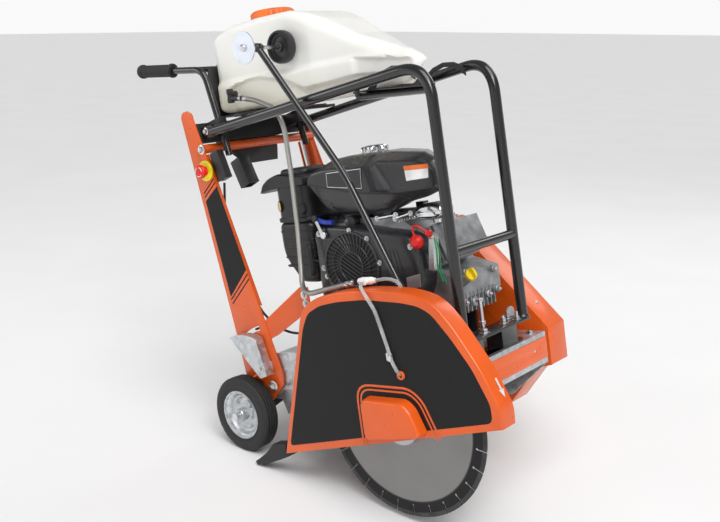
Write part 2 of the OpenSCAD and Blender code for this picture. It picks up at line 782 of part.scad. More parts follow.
module blade_segments() {
    pitch_angle = 360 / segment_count;
    half_gap = asin(gap_w / 2 / blade_r);
    segment_t = core_t + 0.6;
    color("dimgray") on_saw() translate([0, -segment_t / 2, 0]) rotate([-90, 0, 0])
        for (i = [0:segment_count - 1]) rotate([0, 0, i * pitch_angle + half_gap])
            rotate_extrude(angle = pitch_angle - 2 * half_gap, $fn = 180)
                translate([blade_r - segment_h, 0]) square([segment_h, segment_t]);
}

module blade_flanges() {
    flange_r = 55;
    color("silver") on_saw() {
        difference() {
            union() {
                across(0, 0, core_t / 2, 11.4, flange_r);
                across(0, 0, -11.4, -core_t / 2, flange_r);
                hex_across(0, 0, -22, -11.3, 20);
            }
            across(0, 0, -30, 30, 12.7);
        }
    }
}

// ---------------------------------------------------------------- engine

case_edge = [[-275, 204], [60, 204], [88, 240], [88, 292], [20, 312], [-8, 404],
    [-60, 440], [-220, 440], [-275, 400]];

module engine_block() {
    color("dimgray") on_saw() difference() {
        union() {
            plate_xz(150, 322) polygon(case_edge);
            for (x = [-270, -20]) translate([x, 120, 196]) cube([60, 190, 7.6]);
            plate_xz(160, 310) polygon([[-270, 203], [40, 203], [40, 206], [-270, 206]]);
            across(crank_x, crank_z, 321, 338, 70);
            // Cylinder fins and valve cover, canted forward
            leaning(-10, 352, -70) {
                for (i = [0:6]) translate([-46, 168, -20 + i * 12]) cube([92, 128, 5]);
                translate([-36, 182, -20]) cube([72, 100, 96]);
                translate([-38, 176, 70]) cube([76, 112, 26]);
            }
            bar([58, 172, 262], [118, 158, 296], 12);
        }
        across(crank_x, crank_z, 149, 340, 12.55);
        bar([100, 162.2, 285.8], [119.5, 157.65, 296.85], 8);
    }
}

module fan_housing() {
    edge = [[-284, 235], [-250, 204], [-60, 204], [0, 222], [35, 290], [36, 370],
        [8, 402], [-90, 415], [-170, 428], [-248, 434], [-284, 418]];
    color("black") on_saw() {
        difference() {
            plate_xz(88, 149.9) polygon(rounded_route(concat(edge, [edge[0]]), 16, 3));
            plate_xz(91, 151) polygon(inset(edge, 4));
            // Cooling slots in two rings, and the hole for the starter rope
            for (slot = [[44, 60], [66, 84]]) for (i = [0:23])
                translate([crank_x, 87, crank_z]) rotate([0, i * 15, 0])
                    translate([slot[0], 0, -2.5]) cube([slot[1] - slot[0], 5, 5]);
            bar(pull_start, pull_start - pull_dir * 40, 3);
        }
        // Raised starter cover
        difference() {
            across(crank_x, crank_z, 84, 88.5, 40);
            across(crank_x, crank_z, 83, 85.5, 34);
        }
    }
}

module fuel_tank() {
    color("black") on_saw() {
        intersection() {
            plate_xz(85, 330) polygon([[-284, 520], [-256, 482], [-222, 456], [-90, 450], [-40, 456], [0,
                472],
                [60, 482], [92, 492], [105, 508], [98, 560], [60, 582], [-40, 592], [-230, 592], [-268, 578],
                [-286, 545]]);
            // Plan cut back behind the near corner
            linear_extrude(700) polygon([[-300, 80], [106, 80], [106, 125], [-46, 332], [-300, 332]]);
            translate([-350, 0, 0]) rotate([90, 0, 90]) linear_extrude(500) polygon([[104, 448], [85, 500],
                [85, 545], [112, 582], [140, 594], [290, 594], [318, 582], [330, 550], [330, 500], [312,
                    448]]);
        }
        translate([-142, 200, 591]) cylinder(h = 9, r = 24);
        for (y = [160, 290]) translate([-110, y, 440.3]) cube([24, 20, 20]);
    }
}

module fuel_cap() {
    color("silver") on_saw() translate([-142, 200, 592.6]) difference() {
        cylinder(h = 17, r = 34);
        translate([0, 0, -1]) cylinder(h = 9, r = 24.5);
    }
}

module air_cleaner() {
    color("black") on_saw() {
        // Bowl and its cover with the visor
        plate_xz(106, 235) polygon([[-424, 452], [-304, 452], [-304, 540], [-320, 566], [-385, 572],
            [-420, 560]]);
        plate_xz(104, 238) polygon([[-466, 520], [-410, 524], [-302, 530], [-302, 550], [-404, 566],
            [-430, 558],
            [-450, 548]]);
        // Intake body down beside the engine
        plate_xz(108, 232) polygon([[-422, 453], [-426, 345], [-416, 317], [-380, 288], [-302, 288],
            [-302, 453]]);
        across(-345, 464, 96, 107, 13);
        translate([-303, 160, 340]) cube([27.5, 60, 60]);
    }
}

module muffler() {
    color("silver") on_saw() {
        plate_xz(158, 216) polygon([[-22, 438], [-8, 424], [40, 424], [60, 432], [64, 448], [54, 460],
            [34, 465],
            [2, 463], [-16, 452]]);
        translate([26, 192, 416]) cylinder(h = 10, r = 12);
    }
}

module crankshaft() {
    color("silver") on_saw() {
        across(crank_x, crank_z, 112, 442, 12.5);
        // Flywheel with its cooling fan
        across(crank_x, crank_z, 126, 142, 74);
        for (i = [0:11]) translate([crank_x, 113, crank_z]) rotate([0, i * 30, 0]) translate([30, 0, -2])
            cube([40, 14, 4]);
    }
}

dip_axis = unit([60, -14, 34]);

module dipstick() {
    end = [118, 158, 296];
    color("gold") on_saw() {
        bar(end - dip_axis * 14, end + dip_axis * 1, 7.9);
        bar(end + dip_axis * 0.4, end + dip_axis * 8, 14);
        bar(end + dip_axis * 7, end + dip_axis * 18, 8);
    }
}

module recoil_handle() {
    color("black") on_saw() {
        translate([pull_start[0] - 4, 96, pull_start[2] - 40]) cylinder(h = 80, r = 8);
        bar(pull_start, pull_start - pull_dir * 200, 2);
    }
}

module throttle_lever() {
    color("black") on_saw() {
        across(throttle[0], throttle[1], 80, 87.7, 9);
        translate([throttle[0], 80, throttle[1]]) rotate([0, -25, 0]) {
            translate([-5, 0, 0]) cube([10, 4, 46]);
            translate([0, -4, 46]) rotate([-90, 0, 0]) cylinder(h = 9, r = 8);
        }
    }
}

// ---------------------------------------------------------------- switch, handlebar and pointer

module switch_box() {
    color("dimgray") on_saw() leaning(-577, 599, 17) {
        translate([9, 56, -36]) cube([32, 22, 76]);
        translate([-36, 69, -30]) cube([46, 9, 60]);
        across(-18.5, 0, 66.6, 70, 11);
    }
}

module stop_ring() {
    color("gold") on_saw() difference() {
        across(stop_x, stop_z, 47, post_near_y, 27);
        across(stop_x, stop_z, 46, post_near_y + 1, 11.4);
    }
}

module stop_button() {
    color("red") on_saw() {
        across(stop_x, stop_z, 34, 61.9, 11);
        across(stop_x, stop_z, 24, 36, 18);
    }
}

function stop_route() = rounded_route([[-556, 72, 562], [-578, 78, 490], [-568, 80, 390], [-538, 80, 290],
    [-494, 80.2, 215], [-448, 80.2, 180], [-405, 80, 166], [-360, 80, 164], [-322, 84, 190], [-300, 84,
        230]], 16, 3);

module stop_cable() color("dimgray") on_saw() swept(stop_route(), 3.2, 10, [0.02, 1, 0.01]);

// Point on the axis of a handlebar leg, t above the top of its socket
function leg(t, y) = [handle_x - t * sin(lean), y, handle_z + t * cos(lean)];
leg_bend = 131;
leg_foot = -102;
grip_end = [-858, 891];

function handle_route(y) = rounded_route([[grip_end[0], y, grip_end[1]], leg(leg_bend, y), leg(leg_foot,
    y)], 34, 5);

module handlebar() {
    color("black") on_saw() {
        for (y = [handle_near_y, handle_far_y]) swept(handle_route(y), thin_tube_r, 14);
        // Cross tube between the legs
        across(-648, 864.8, handle_near_y + 6, handle_far_y - 6, 8);
    }
}

function grip_point(y, t) = let(a = [grip_end[0], y, grip_end[1]]) a + unit(leg(leg_bend, y) - a) * t;

module grips() {
    color("black") on_saw() for (y = [handle_near_y, handle_far_y]) difference() {
        bar(grip_point(y, -4), grip_point(y, 132), 19);
        bar(grip_point(y, -8), grip_point(y, 142), thin_tube_r + 0.1);
    }
}

module pointer_arm() {
    color("black") on_saw() {
        difference() {
            union() {
                plate_xz(pointer_y0, pointer_y1) {
                    p = [pointer_pivot, [22, 289], [-100, 554], pointer_head];
                    for (i = [0:2]) {
                        d = unit(p[i + 1] - p[i]);
                        s = [-d[1], d[0]] * 8;
                        polygon([p[i] + s, p[i] - s, p[i + 1] - s, p[i + 1] + s]);
                        translate(p[i]) circle(r = 8);
                    }
                }
                across(pointer_pivot[0], pointer_pivot[1], pointer_y0, pointer_y1, 14);
            }
            across(pointer_pivot[0], pointer_pivot[1], 20, 50, 6.05);
        }
        across(pointer_head[0], pointer_head[1], -20, 130, 6);
        across(pointer_head[0], pointer_head[1], 0, 98, 11);
    }
}

module pointer_wheel() {
    color("black") on_saw() translate([pointer_head[0], 99, pointer_head[1]]) rotate([-90, 0, 0])
        difference() {
        rotate_extrude() polygon([[6.05, 0], [34, 0], [40, 6], [40, 20], [34, 27], [30, 27],
            [26, 16], [14, 16], [12, 26], [6.05, 26]]);
    }
}

module pointer_disc() {
    color("silver") on_saw() difference() {
        across(pointer_head[0], pointer_head[1], -13, -10, 37.5);
        across(pointer_head[0], pointer_head[1], -20, 0, 6.05);
    }
}

// ---------------------------------------------------------------- depth adjustment

module depth_spindle() {
    crank_reach = 46;
    crank_level = 742;
    color("silver") on_saw() leaning(nut_x, nut_z, spindle_lean) translate([0, spindle_y, 0]) {
        translate([0, 0, -60]) cylinder(h = crank_level + 60, r = spindle_r);
        translate([0, 0, crank_level - 3]) cylinder(h = 14, r = 12);
        translate([-crank_reach, -6, crank_level]) cube([crank_reach, 12, 8]);
        translate([-crank_reach, 0, crank_level]) cylinder(h = 58, r = 8);
    }
}

module spindle_nut() {
    color("gold") on_saw() leaning(nut_x, nut_z, spindle_lean) difference() {
        union() {
            translate([-13, spindle_y - 12, -12]) cube([26, 22, 24]);
            across(0, 0, 421, spindle_y - 11, 6);
        }
        translate([0, spindle_y, -13]) cylinder(h = 26, r = spindle_r + running_gap);
    }
}

wheel_frame();
axles();
rear_rim_near();
rear_tyre_near();
rear_rim_far();
rear_tyre_far();
front_rim_near();
front_tyre_near();
front_rim_far();
front_tyre_far();
chassis();
front_plate();
engine_base();
rear_post_near();
rear_post_far();
post_tie();
depth_scale();
console();
tube_frame();
front_bracket();
frame_bolts();
tank_tray();
water_tank();
water_hose();
hose_fittings();
spray_hoses();
blade_guard();
guard_flap();
belt_guard();
belt_guard_back();
shaft_bearings();
engine_block();
fan_housing();
fuel_tank();
air_cleaner();
muffler();
drive_belt();
switch_box();
stop_ring();
stop_cable();
blade_shaft();
saw_blade();
blade_segments();
blade_flanges();
driven_pulley();
crankshaft();
crank_pulley();
tank_cap();
fuel_cap();
dipstick();
recoil_handle();
throttle_lever();
handlebar();
grips();
stop_button();
pointer_arm();
pointer_wheel();
pointer_disc();
depth_spindle();
spindle_nut();
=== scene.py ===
"""Looks for the walk-behind floor saw: camera, light, materials and detailed pieces around the fixed frame.

Lengths inside this script are millimetres in the saw frame's own axes: the origin is the blade's centre,
X runs forward, Y to the operator's left and Z up, leaned back with the raised blade. saw_at() turns them
into the frame's metres.
"""

import json
import math

import bmesh
import bpy
from mathutils import Matrix, Vector

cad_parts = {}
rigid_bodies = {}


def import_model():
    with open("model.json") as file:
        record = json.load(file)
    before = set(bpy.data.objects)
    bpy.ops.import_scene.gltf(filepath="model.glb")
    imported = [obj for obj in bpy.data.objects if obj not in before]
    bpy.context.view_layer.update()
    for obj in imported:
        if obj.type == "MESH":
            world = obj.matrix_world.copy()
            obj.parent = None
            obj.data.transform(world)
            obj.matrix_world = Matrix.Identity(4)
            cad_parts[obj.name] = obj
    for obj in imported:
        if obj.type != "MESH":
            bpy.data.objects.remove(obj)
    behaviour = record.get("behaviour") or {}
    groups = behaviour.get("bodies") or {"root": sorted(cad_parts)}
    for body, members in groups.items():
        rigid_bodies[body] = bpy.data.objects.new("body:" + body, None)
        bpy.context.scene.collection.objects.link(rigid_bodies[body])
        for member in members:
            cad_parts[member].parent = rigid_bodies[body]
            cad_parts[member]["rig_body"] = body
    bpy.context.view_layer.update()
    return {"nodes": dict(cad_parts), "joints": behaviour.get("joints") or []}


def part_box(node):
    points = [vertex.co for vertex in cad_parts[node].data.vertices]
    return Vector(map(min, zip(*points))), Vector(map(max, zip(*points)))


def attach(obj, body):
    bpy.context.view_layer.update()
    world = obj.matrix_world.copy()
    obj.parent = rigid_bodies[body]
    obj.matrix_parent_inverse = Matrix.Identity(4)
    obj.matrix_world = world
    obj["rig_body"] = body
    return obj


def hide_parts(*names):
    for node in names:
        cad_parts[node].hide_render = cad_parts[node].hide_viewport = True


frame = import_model()

# ---------------------------------------------------------------- frame of reference

joints = {j["name"]: j for j in frame["joints"]}
axle_centre = Vector(joints["blade_spin"]["pos_m"])
saw_up = Vector(joints["tank_cap_turn"]["axis"])
PITCH = math.atan2(-saw_up.x, saw_up.z)
SAW = Matrix.Translation(axle_centre) @ Matrix.Rotation(-PITCH, 4, "Y") @ Matrix.Scale(0.001, 4)
FLOOR = Matrix.Translation((axle_centre.x, axle_centre.y, 0)) @ Matrix.Scale(0.001, 4)
TAU = 2 * math.pi

# Directions in the saw frame: the far side is the operator's left, the near side has the blade
UP = (0, 0, 1)
AHEAD = (1, 0, 0)
TO_FAR = (0, 1, 0)
TO_NEAR = (0, -1, 0)


def saw_at(x, y, z):
    return SAW @ Vector((x, y, z))


# ---------------------------------------------------------------- materials

def new_material(name, colour, roughness, metallic=0.0, **sockets):
    """Principled material with its constant values set straight on the sockets."""
    mat = bpy.data.materials.new(name)
    mat.use_nodes = True
    shader = mat.node_tree.nodes["Principled BSDF"]
    shader.inputs["Base Color"].default_value = (*colour, 1)
    shader.inputs["Roughness"].default_value = roughness
    shader.inputs["Metallic"].default_value = metallic
    for socket, value in sockets.items():
        shader.inputs[socket.replace("_", " ")].default_value = value
    return mat


def node(mat, kind, **settings):
    made = mat.node_tree.nodes.new(kind)
    for key, value in settings.items():
        if key in made.inputs:
            made.inputs[key].default_value = value
        else:
            setattr(made, key, value)
    return made


def link(mat, a, a_socket, b, b_socket):
    mat.node_tree.links.new(a.outputs[a_socket], b.inputs[b_socket])


def coordinates(mat, scale=(1, 1, 1), offset=(0, 0, 0), turn=(0, 0, 0)):
    coord = node(mat, "ShaderNodeTexCoord")
    mapping = node(mat, "ShaderNodeMapping")
    mapping.inputs["Scale"].default_value = scale
    mapping.inputs["Location"].default_value = offset
    mapping.inputs["Rotation"].default_value = turn
    link(mat, coord, "Object", mapping, "Vector")
    return mapping


def noise(mat, scale, detail=4.0, stretch=(1, 1, 1), turn=(0, 0, 0)):
    texture = node(mat, "ShaderNodeTexNoise")
    texture.inputs["Scale"].default_value = scale
    texture.inputs["Detail"].default_value = detail
    link(mat, coordinates(mat, stretch, turn=turn), "Vector", texture, "Vector")
    return texture


def ramp(mat, source, socket, low, high, a=0.35, b=0.65):
    """Colour ramp driven by source, from colour low to colour high."""
    made = node(mat, "ShaderNodeValToRGB")
    made.color_ramp.elements[0].position = a
    made.color_ramp.elements[1].position = b
    made.color_ramp.elements[0].color = (*low, 1)
    made.color_ramp.elements[1].color = (*high, 1)
    link(mat, source, socket, made, "Fac")
    return made


def shader_of(mat):
    return mat.node_tree.nodes["Principled BSDF"]


def add_bump(mat, source, socket, strength, distance):
    bump = node(mat, "ShaderNodeBump")
    bump.inputs["Strength"].default_value = strength
    bump.inputs["Distance"].default_value = distance
    link(mat, source, socket, bump, "Height")
    link(mat, bump, "Normal", shader_of(mat), "Normal")


def vary_colour(mat, source, socket, low, high, a=0.35, b=0.65):
    link(mat, ramp(mat, source, socket, low, high, a, b), "Color", shader_of(mat), "Base Color")


def vary_roughness(mat, source, socket, low, high, a=0.3, b=0.7):
    made = node(mat, "ShaderNodeMapRange")
    made.inputs["From Min"].default_value = a
    made.inputs["From Max"].default_value = b
    made.inputs["To Min"].default_value = low
    made.inputs["To Max"].default_value = high
    link(mat, source, socket, made, "Value")
    link(mat, made, "Result", shader_of(mat), "Roughness")


def shade(colour, factor):
    return tuple(min(1.0, c * factor) for c in colour)


def paint(name, colour, roughness=0.3, coat=0.25, grain=0.12):
    """Powder coat: faint orange peel, slightly uneven colour and gloss."""
    mat = new_material(name, colour, roughness, Coat_Weight=coat, Coat_Roughness=0.12)
    broad = noise(mat, 9, 3)
    vary_colour(mat, broad, "Fac", shade(colour, 0.93), shade(colour, 1.05))
    fine = noise(mat, 1100, 2)
    add_bump(mat, fine, "Fac", grain, 0.0004)
    vary_roughness(mat, noise(mat, 40, 5), "Fac", roughness * 0.85, roughness * 1.25)
    return mat


def galvanised(name, colour=(0.6, 0.62, 0.64)):
    """Zinc with its crystal spangle."""
    mat = new_material(name, colour, 0.4, 0.85)
    cells = node(mat, "ShaderNodeTexVoronoi")
    cells.inputs["Scale"].default_value = 75
    link(mat, coordinates(mat), "Vector", cells, "Vector")
    vary_colour(mat, cells, "Color", shade(colour, 0.75), shade(colour, 1.15), 0.1, 0.9)
    vary_roughness(mat, cells, "Color", 0.3, 0.5, 0, 1)
    add_bump(mat, noise(mat, 500, 3), "Fac", 0.12, 0.0004)
    return mat


def bare_metal(name, colour, roughness, stretch=(1, 1, 12), scale=300):
    """Turned or brushed metal with fine scratches."""
    mat = new_material(name, colour, roughness, 1.0)
    scratches = noise(mat, scale, 6, stretch)
    vary_roughness(mat, scratches, "Fac", roughness * 0.7, roughness * 1.5)
    vary_colour(mat, noise(mat, 30, 4), "Fac", shade(colour, 0.88), shade(colour, 1.06))
    add_bump(mat, scratches, "Fac", 0.08, 0.0003)
    return mat


def moulded(name, colour, roughness=0.5, grain=0.35, scale=1400, **sockets):
    """Moulded plastic or rubber with a fine texture."""
    mat = new_material(name, colour, roughness, **sockets)
    fine = noise(mat, scale, 3)
    add_bump(mat, fine, "Fac", grain, 0.0003)
    broad = noise(mat, 22, 4)
    vary_colour(mat, broad, "Fac", shade(colour, 0.82), shade(colour, 1.2))
    vary_roughness(mat, broad, "Fac", roughness * 0.85, roughness * 1.15)
    return mat


def casting(name, colour, roughness=0.5, metallic=0.75):
    """Rough sand or die casting."""
    mat = new_material(name, colour, roughness, metallic)
    rough = noise(mat, 260, 6)
    add_bump(mat, rough, "Fac", 0.4, 0.0008)
    vary_colour(mat, noise(mat, 35, 6), "Fac", shade(colour, 0.7), shade(colour, 1.15))
    return mat


def blade_steel():
    """Ground disc: fine circular lines, with a darker heat-treated band at the rim."""
    mat = new_material("blade_steel", (0.3, 0.3, 0.3), 0.38, 0.9)
    centred = coordinates(mat, offset=tuple(-axle_centre))
    lines = node(mat, "ShaderNodeTexWave", wave_type="RINGS", rings_direction="Y")
    lines.inputs["Scale"].default_value = 110
    lines.inputs["Distortion"].default_value = 1.5
    lines.inputs["Detail"].default_value = 3
    link(mat, centred, "Vector", lines, "Vector")
    add_bump(mat, lines, "Fac", 0.07, 0.0003)
    flat = node(mat, "ShaderNodeMapping")
    flat.inputs["Scale"].default_value = (1, 0, 1)
    link(mat, centred, "Vector", flat, "Vector")
    radius = node(mat, "ShaderNodeVectorMath", operation="LENGTH")
    link(mat, flat, "Vector", radius, 0)
    band = ramp(mat, radius, "Value", (0.26, 0.256, 0.25), (0.03, 0.03, 0.032), 0.1885, 0.1915)
    link(mat, band, "Color", shader_of(mat), "Base Color")
    vary_roughness(mat, noise(mat, 14, 4), "Fac", 0.3, 0.48)
    return mat


def tank_plastic():
    """Cloudy blow-moulded polyethylene, with painted shade: darker and yellower towards the bottom."""
    mat = new_material("tank_plastic", (0.9, 0.89, 0.84), 0.34, Subsurface_Weight=0.35, Subsurface_Scale=0.03)
    shader_of(mat).inputs["Subsurface Radius"].default_value = (1.0, 0.85, 0.55)
    place = coordinates(mat)
    split = node(mat, "ShaderNodeSeparateXYZ")
    link(mat, place, "Vector", split, "Vector")
    # Painted shade: the colour turns darker and yellower towards the tank's underside, set by height alone
    base = saw_at(-200, 0, 735).z
    height = node(mat, "ShaderNodeMapRange")
    height.inputs["From Min"].default_value = base - 0.08
    height.inputs["From Max"].default_value = base + 0.12
    link(mat, split, "Z", height, "Value")
    vary_colour(mat, height, "Result", (0.82, 0.78, 0.62), (0.91, 0.905, 0.87), 0.05, 0.8)
    add_bump(mat, noise(mat, 60, 3), "Fac", 0.06, 0.002)
    vary_roughness(mat, noise(mat, 25, 3), "Fac", 0.28, 0.42)
    return mat


def braided():
    """Stainless braid: two sets of strands crossing on the hose's own surface coordinates, with painted shade
    in the hollows between the strands.
    """
    mat = new_material("braid_steel", (0.62, 0.61, 0.58), 0.35, 0.9)
    uv = node(mat, "ShaderNodeUVMap", uv_map="route")
    heights = []
    for side in (1, -1):
        mapping = node(mat, "ShaderNodeMapping")
        mapping.inputs["Scale"].default_value = (6, 160, 1)
        link(mat, uv, "UV", mapping, "Vector")
        split = node(mat, "ShaderNodeSeparateXYZ")
        link(mat, mapping, "Vector", split, "Vector")
        mix = node(mat, "ShaderNodeMath", operation="ADD" if side > 0 else "SUBTRACT")
        link(mat, split, "X", mix, 0)
        link(mat, split, "Y", mix, 1)
        turns = node(mat, "ShaderNodeMath", operation="MULTIPLY")
        turns.inputs[1].default_value = TAU
        link(mat, mix, "Value", turns, 0)
        wave = node(mat, "ShaderNodeMath", operation="SINE")
        link(mat, turns, "Value", wave, 0)
        heights.append(wave)
    product = node(mat, "ShaderNodeMath", operation="MAXIMUM")
    link(mat, heights[0], "Value", product, 0)
    link(mat, heights[1], "Value", product, 1)
    add_bump(mat, product, "Value", 0.7, 0.0006)
    # Painted shade: the low parts of the weave, between the strands, are coloured dark
    vary_colour(mat, product, "Value", (0.12, 0.115, 0.1), (0.78, 0.77, 0.74), 0.25, 1.0)
    return mat


ORANGE = (0.76, 0.105, 0.005)
M = {
    "orange": paint("orange_coat", ORANGE, 0.32, 0.3),
    "orange_dark": paint("orange_print", (0.72, 0.12, 0.02), 0.45, 0.0),
    "black": paint("black_coat", (0.012, 0.012, 0.013), 0.22, 0.5),
    "black_satin": paint("black_satin_coat", (0.018, 0.018, 0.019), 0.4, 0.1),
    "vinyl": moulded("black_vinyl", (0.009, 0.0095, 0.01), 0.5, 0.25, 900, Specular_IOR_Level=0.25),
    "zinc": galvanised("galvanised_sheet"),
    "bright": bare_metal("bright_plate", (0.72, 0.73, 0.74), 0.26),
    "disc": bare_metal("zinc_disc", (0.78, 0.82, 0.9), 0.3),
    "chrome": bare_metal("chrome_plate", (0.8, 0.81, 0.82), 0.1, (1, 1, 1), 40),
    "tyre": moulded("tyre_rubber", (0.022, 0.022, 0.023), 0.72, 0.5, 700),
    "rubber": moulded("black_rubber", (0.018, 0.018, 0.018), 0.62, 0.5, 900),
    "plastic": moulded("black_plastic", (0.02, 0.02, 0.022), 0.38, 0.3, 1600),
    "tin": paint("engine_enamel", (0.022, 0.022, 0.025), 0.3, 0.3),
    "alloy": casting("cast_alloy", (0.42, 0.43, 0.44)),
    "iron": casting("cast_iron", (0.12, 0.12, 0.125), 0.55),
    "steel": bare_metal("turned_steel", (0.5, 0.5, 0.51), 0.32),
    "blade": blade_steel(),
    "segment": casting("diamond_segment", (0.06, 0.06, 0.062), 0.7, 0.3),
    "tank": tank_plastic(),
    "cap": moulded("orange_plastic", (0.86, 0.17, 0.02), 0.38, 0.2),
    "yellow": moulded("yellow_plastic", (0.85, 0.62, 0.02), 0.35, 0.15),
    "ring": moulded("yellow_disc", (0.78, 0.74, 0.02), 0.4, 0.1),
    "red": moulded("red_plastic", (0.72, 0.015, 0.012), 0.25, 0.1),
    "white": moulded("white_print", (0.82, 0.82, 0.82), 0.5, 0.1),
    "label": bare_metal("blank_plate", (0.75, 0.76, 0.8), 0.35),
    "blue": moulded("blue_plastic", (0.02, 0.05, 0.4), 0.35, 0.1),
    "green": moulded("green_wire", (0.02, 0.35, 0.12), 0.4, 0.1),
    "braid": braided(),
    "clear": moulded("clear_hose", (0.86, 0.88, 0.88), 0.18, 0.1, 300, Transmission_Weight=0.7, IOR=1.38),
    "tee": moulded("white_plastic", (0.85, 0.86, 0.86), 0.35, 0.1),
    "brass": bare_metal("brass", (0.75, 0.55, 0.22), 0.3),
}

# ---------------------------------------------------------------- mesh building

def unit_axes(direction):
    """Two directions square to the given one."""
    d = Vector(direction).normalized()
    hint = Vector(TO_FAR) if abs(d.y) < 0.9 else Vector(AHEAD)
    u = d.cross(hint).normalized()
    return u, d.cross(u).normalized()


def smooth_route(points, radius, steps=8):
    """Polyline with each inner corner rounded off by radius."""
    pts = [Vector(p) for p in points]
    out = [pts[0]]
    for a, b, c in zip(pts, pts[1:], pts[2:]):
        cut = min(radius, (a - b).length * 0.49, (c - b).length * 0.49)
        p, q = b + (a - b).normalized() * cut, b + (c - b).normalized() * cut
        for i in range(steps + 1):
            t = i / steps
            out.append(p * (1 - t) ** 2 + b * 2 * t * (1 - t) + q * t * t)
    out.append(pts[-1])
    return out


def resampled(points, spacing):
    """The same route with evenly spaced points."""
    out, carry = [points[0].copy()], 0.0
    for a, b in zip(points, points[1:]):
        length = (b - a).length
        at = spacing - carry
        while at <= length:
            out.append(a.lerp(b, at / length))
            at += spacing
        carry = (carry + length) % spacing if length + carry >= spacing else carry + length
    if (out[-1] - points[-1]).length > spacing * 0.3:
        out.append(points[-1].copy())
    return out


def round_outline(points, radius, steps=5):
    """Closed outline of (x, z) pairs with rounded corners."""
    pts = [Vector(p) for p in points]
    out = []
    for i, b in enumerate(pts):
        a, c = pts[i - 1], pts[(i + 1) % len(pts)]
        cut = min(radius, (a - b).length * 0.45, (c - b).length * 0.45)
        p, q = b + (a - b).normalized() * cut, b + (c - b).normalized() * cut
        for k in range(steps + 1):
            t = k / steps
            out.append(p * (1 - t) ** 2 + b * 2 * t * (1 - t) + q * t * t)
    return out


def offset_outline(points, distance):
    """Closed (x, z) outline moved inwards when it runs anticlockwise."""
    pts = [Vector(p) for p in points]
    out = []
    for i, b in enumerate(pts):
        u = (b - pts[i - 1]).normalized()
        v = (pts[(i + 1) % len(pts)] - b).normalized()
        n, m = Vector((-u.y, u.x)), Vector((-v.y, v.x))
        out.append(b + (n + m) * distance / (1 + n.dot(m)))
    return out


def circle(centre, u, v, radius, steps):
    """Ring of points around a centre, in the plane of the unit vectors u and v."""
    return [centre + u * (radius * math.cos(TAU * k / steps)) + v * (radius * math.sin(TAU * k / steps))
            for k in range(steps)]


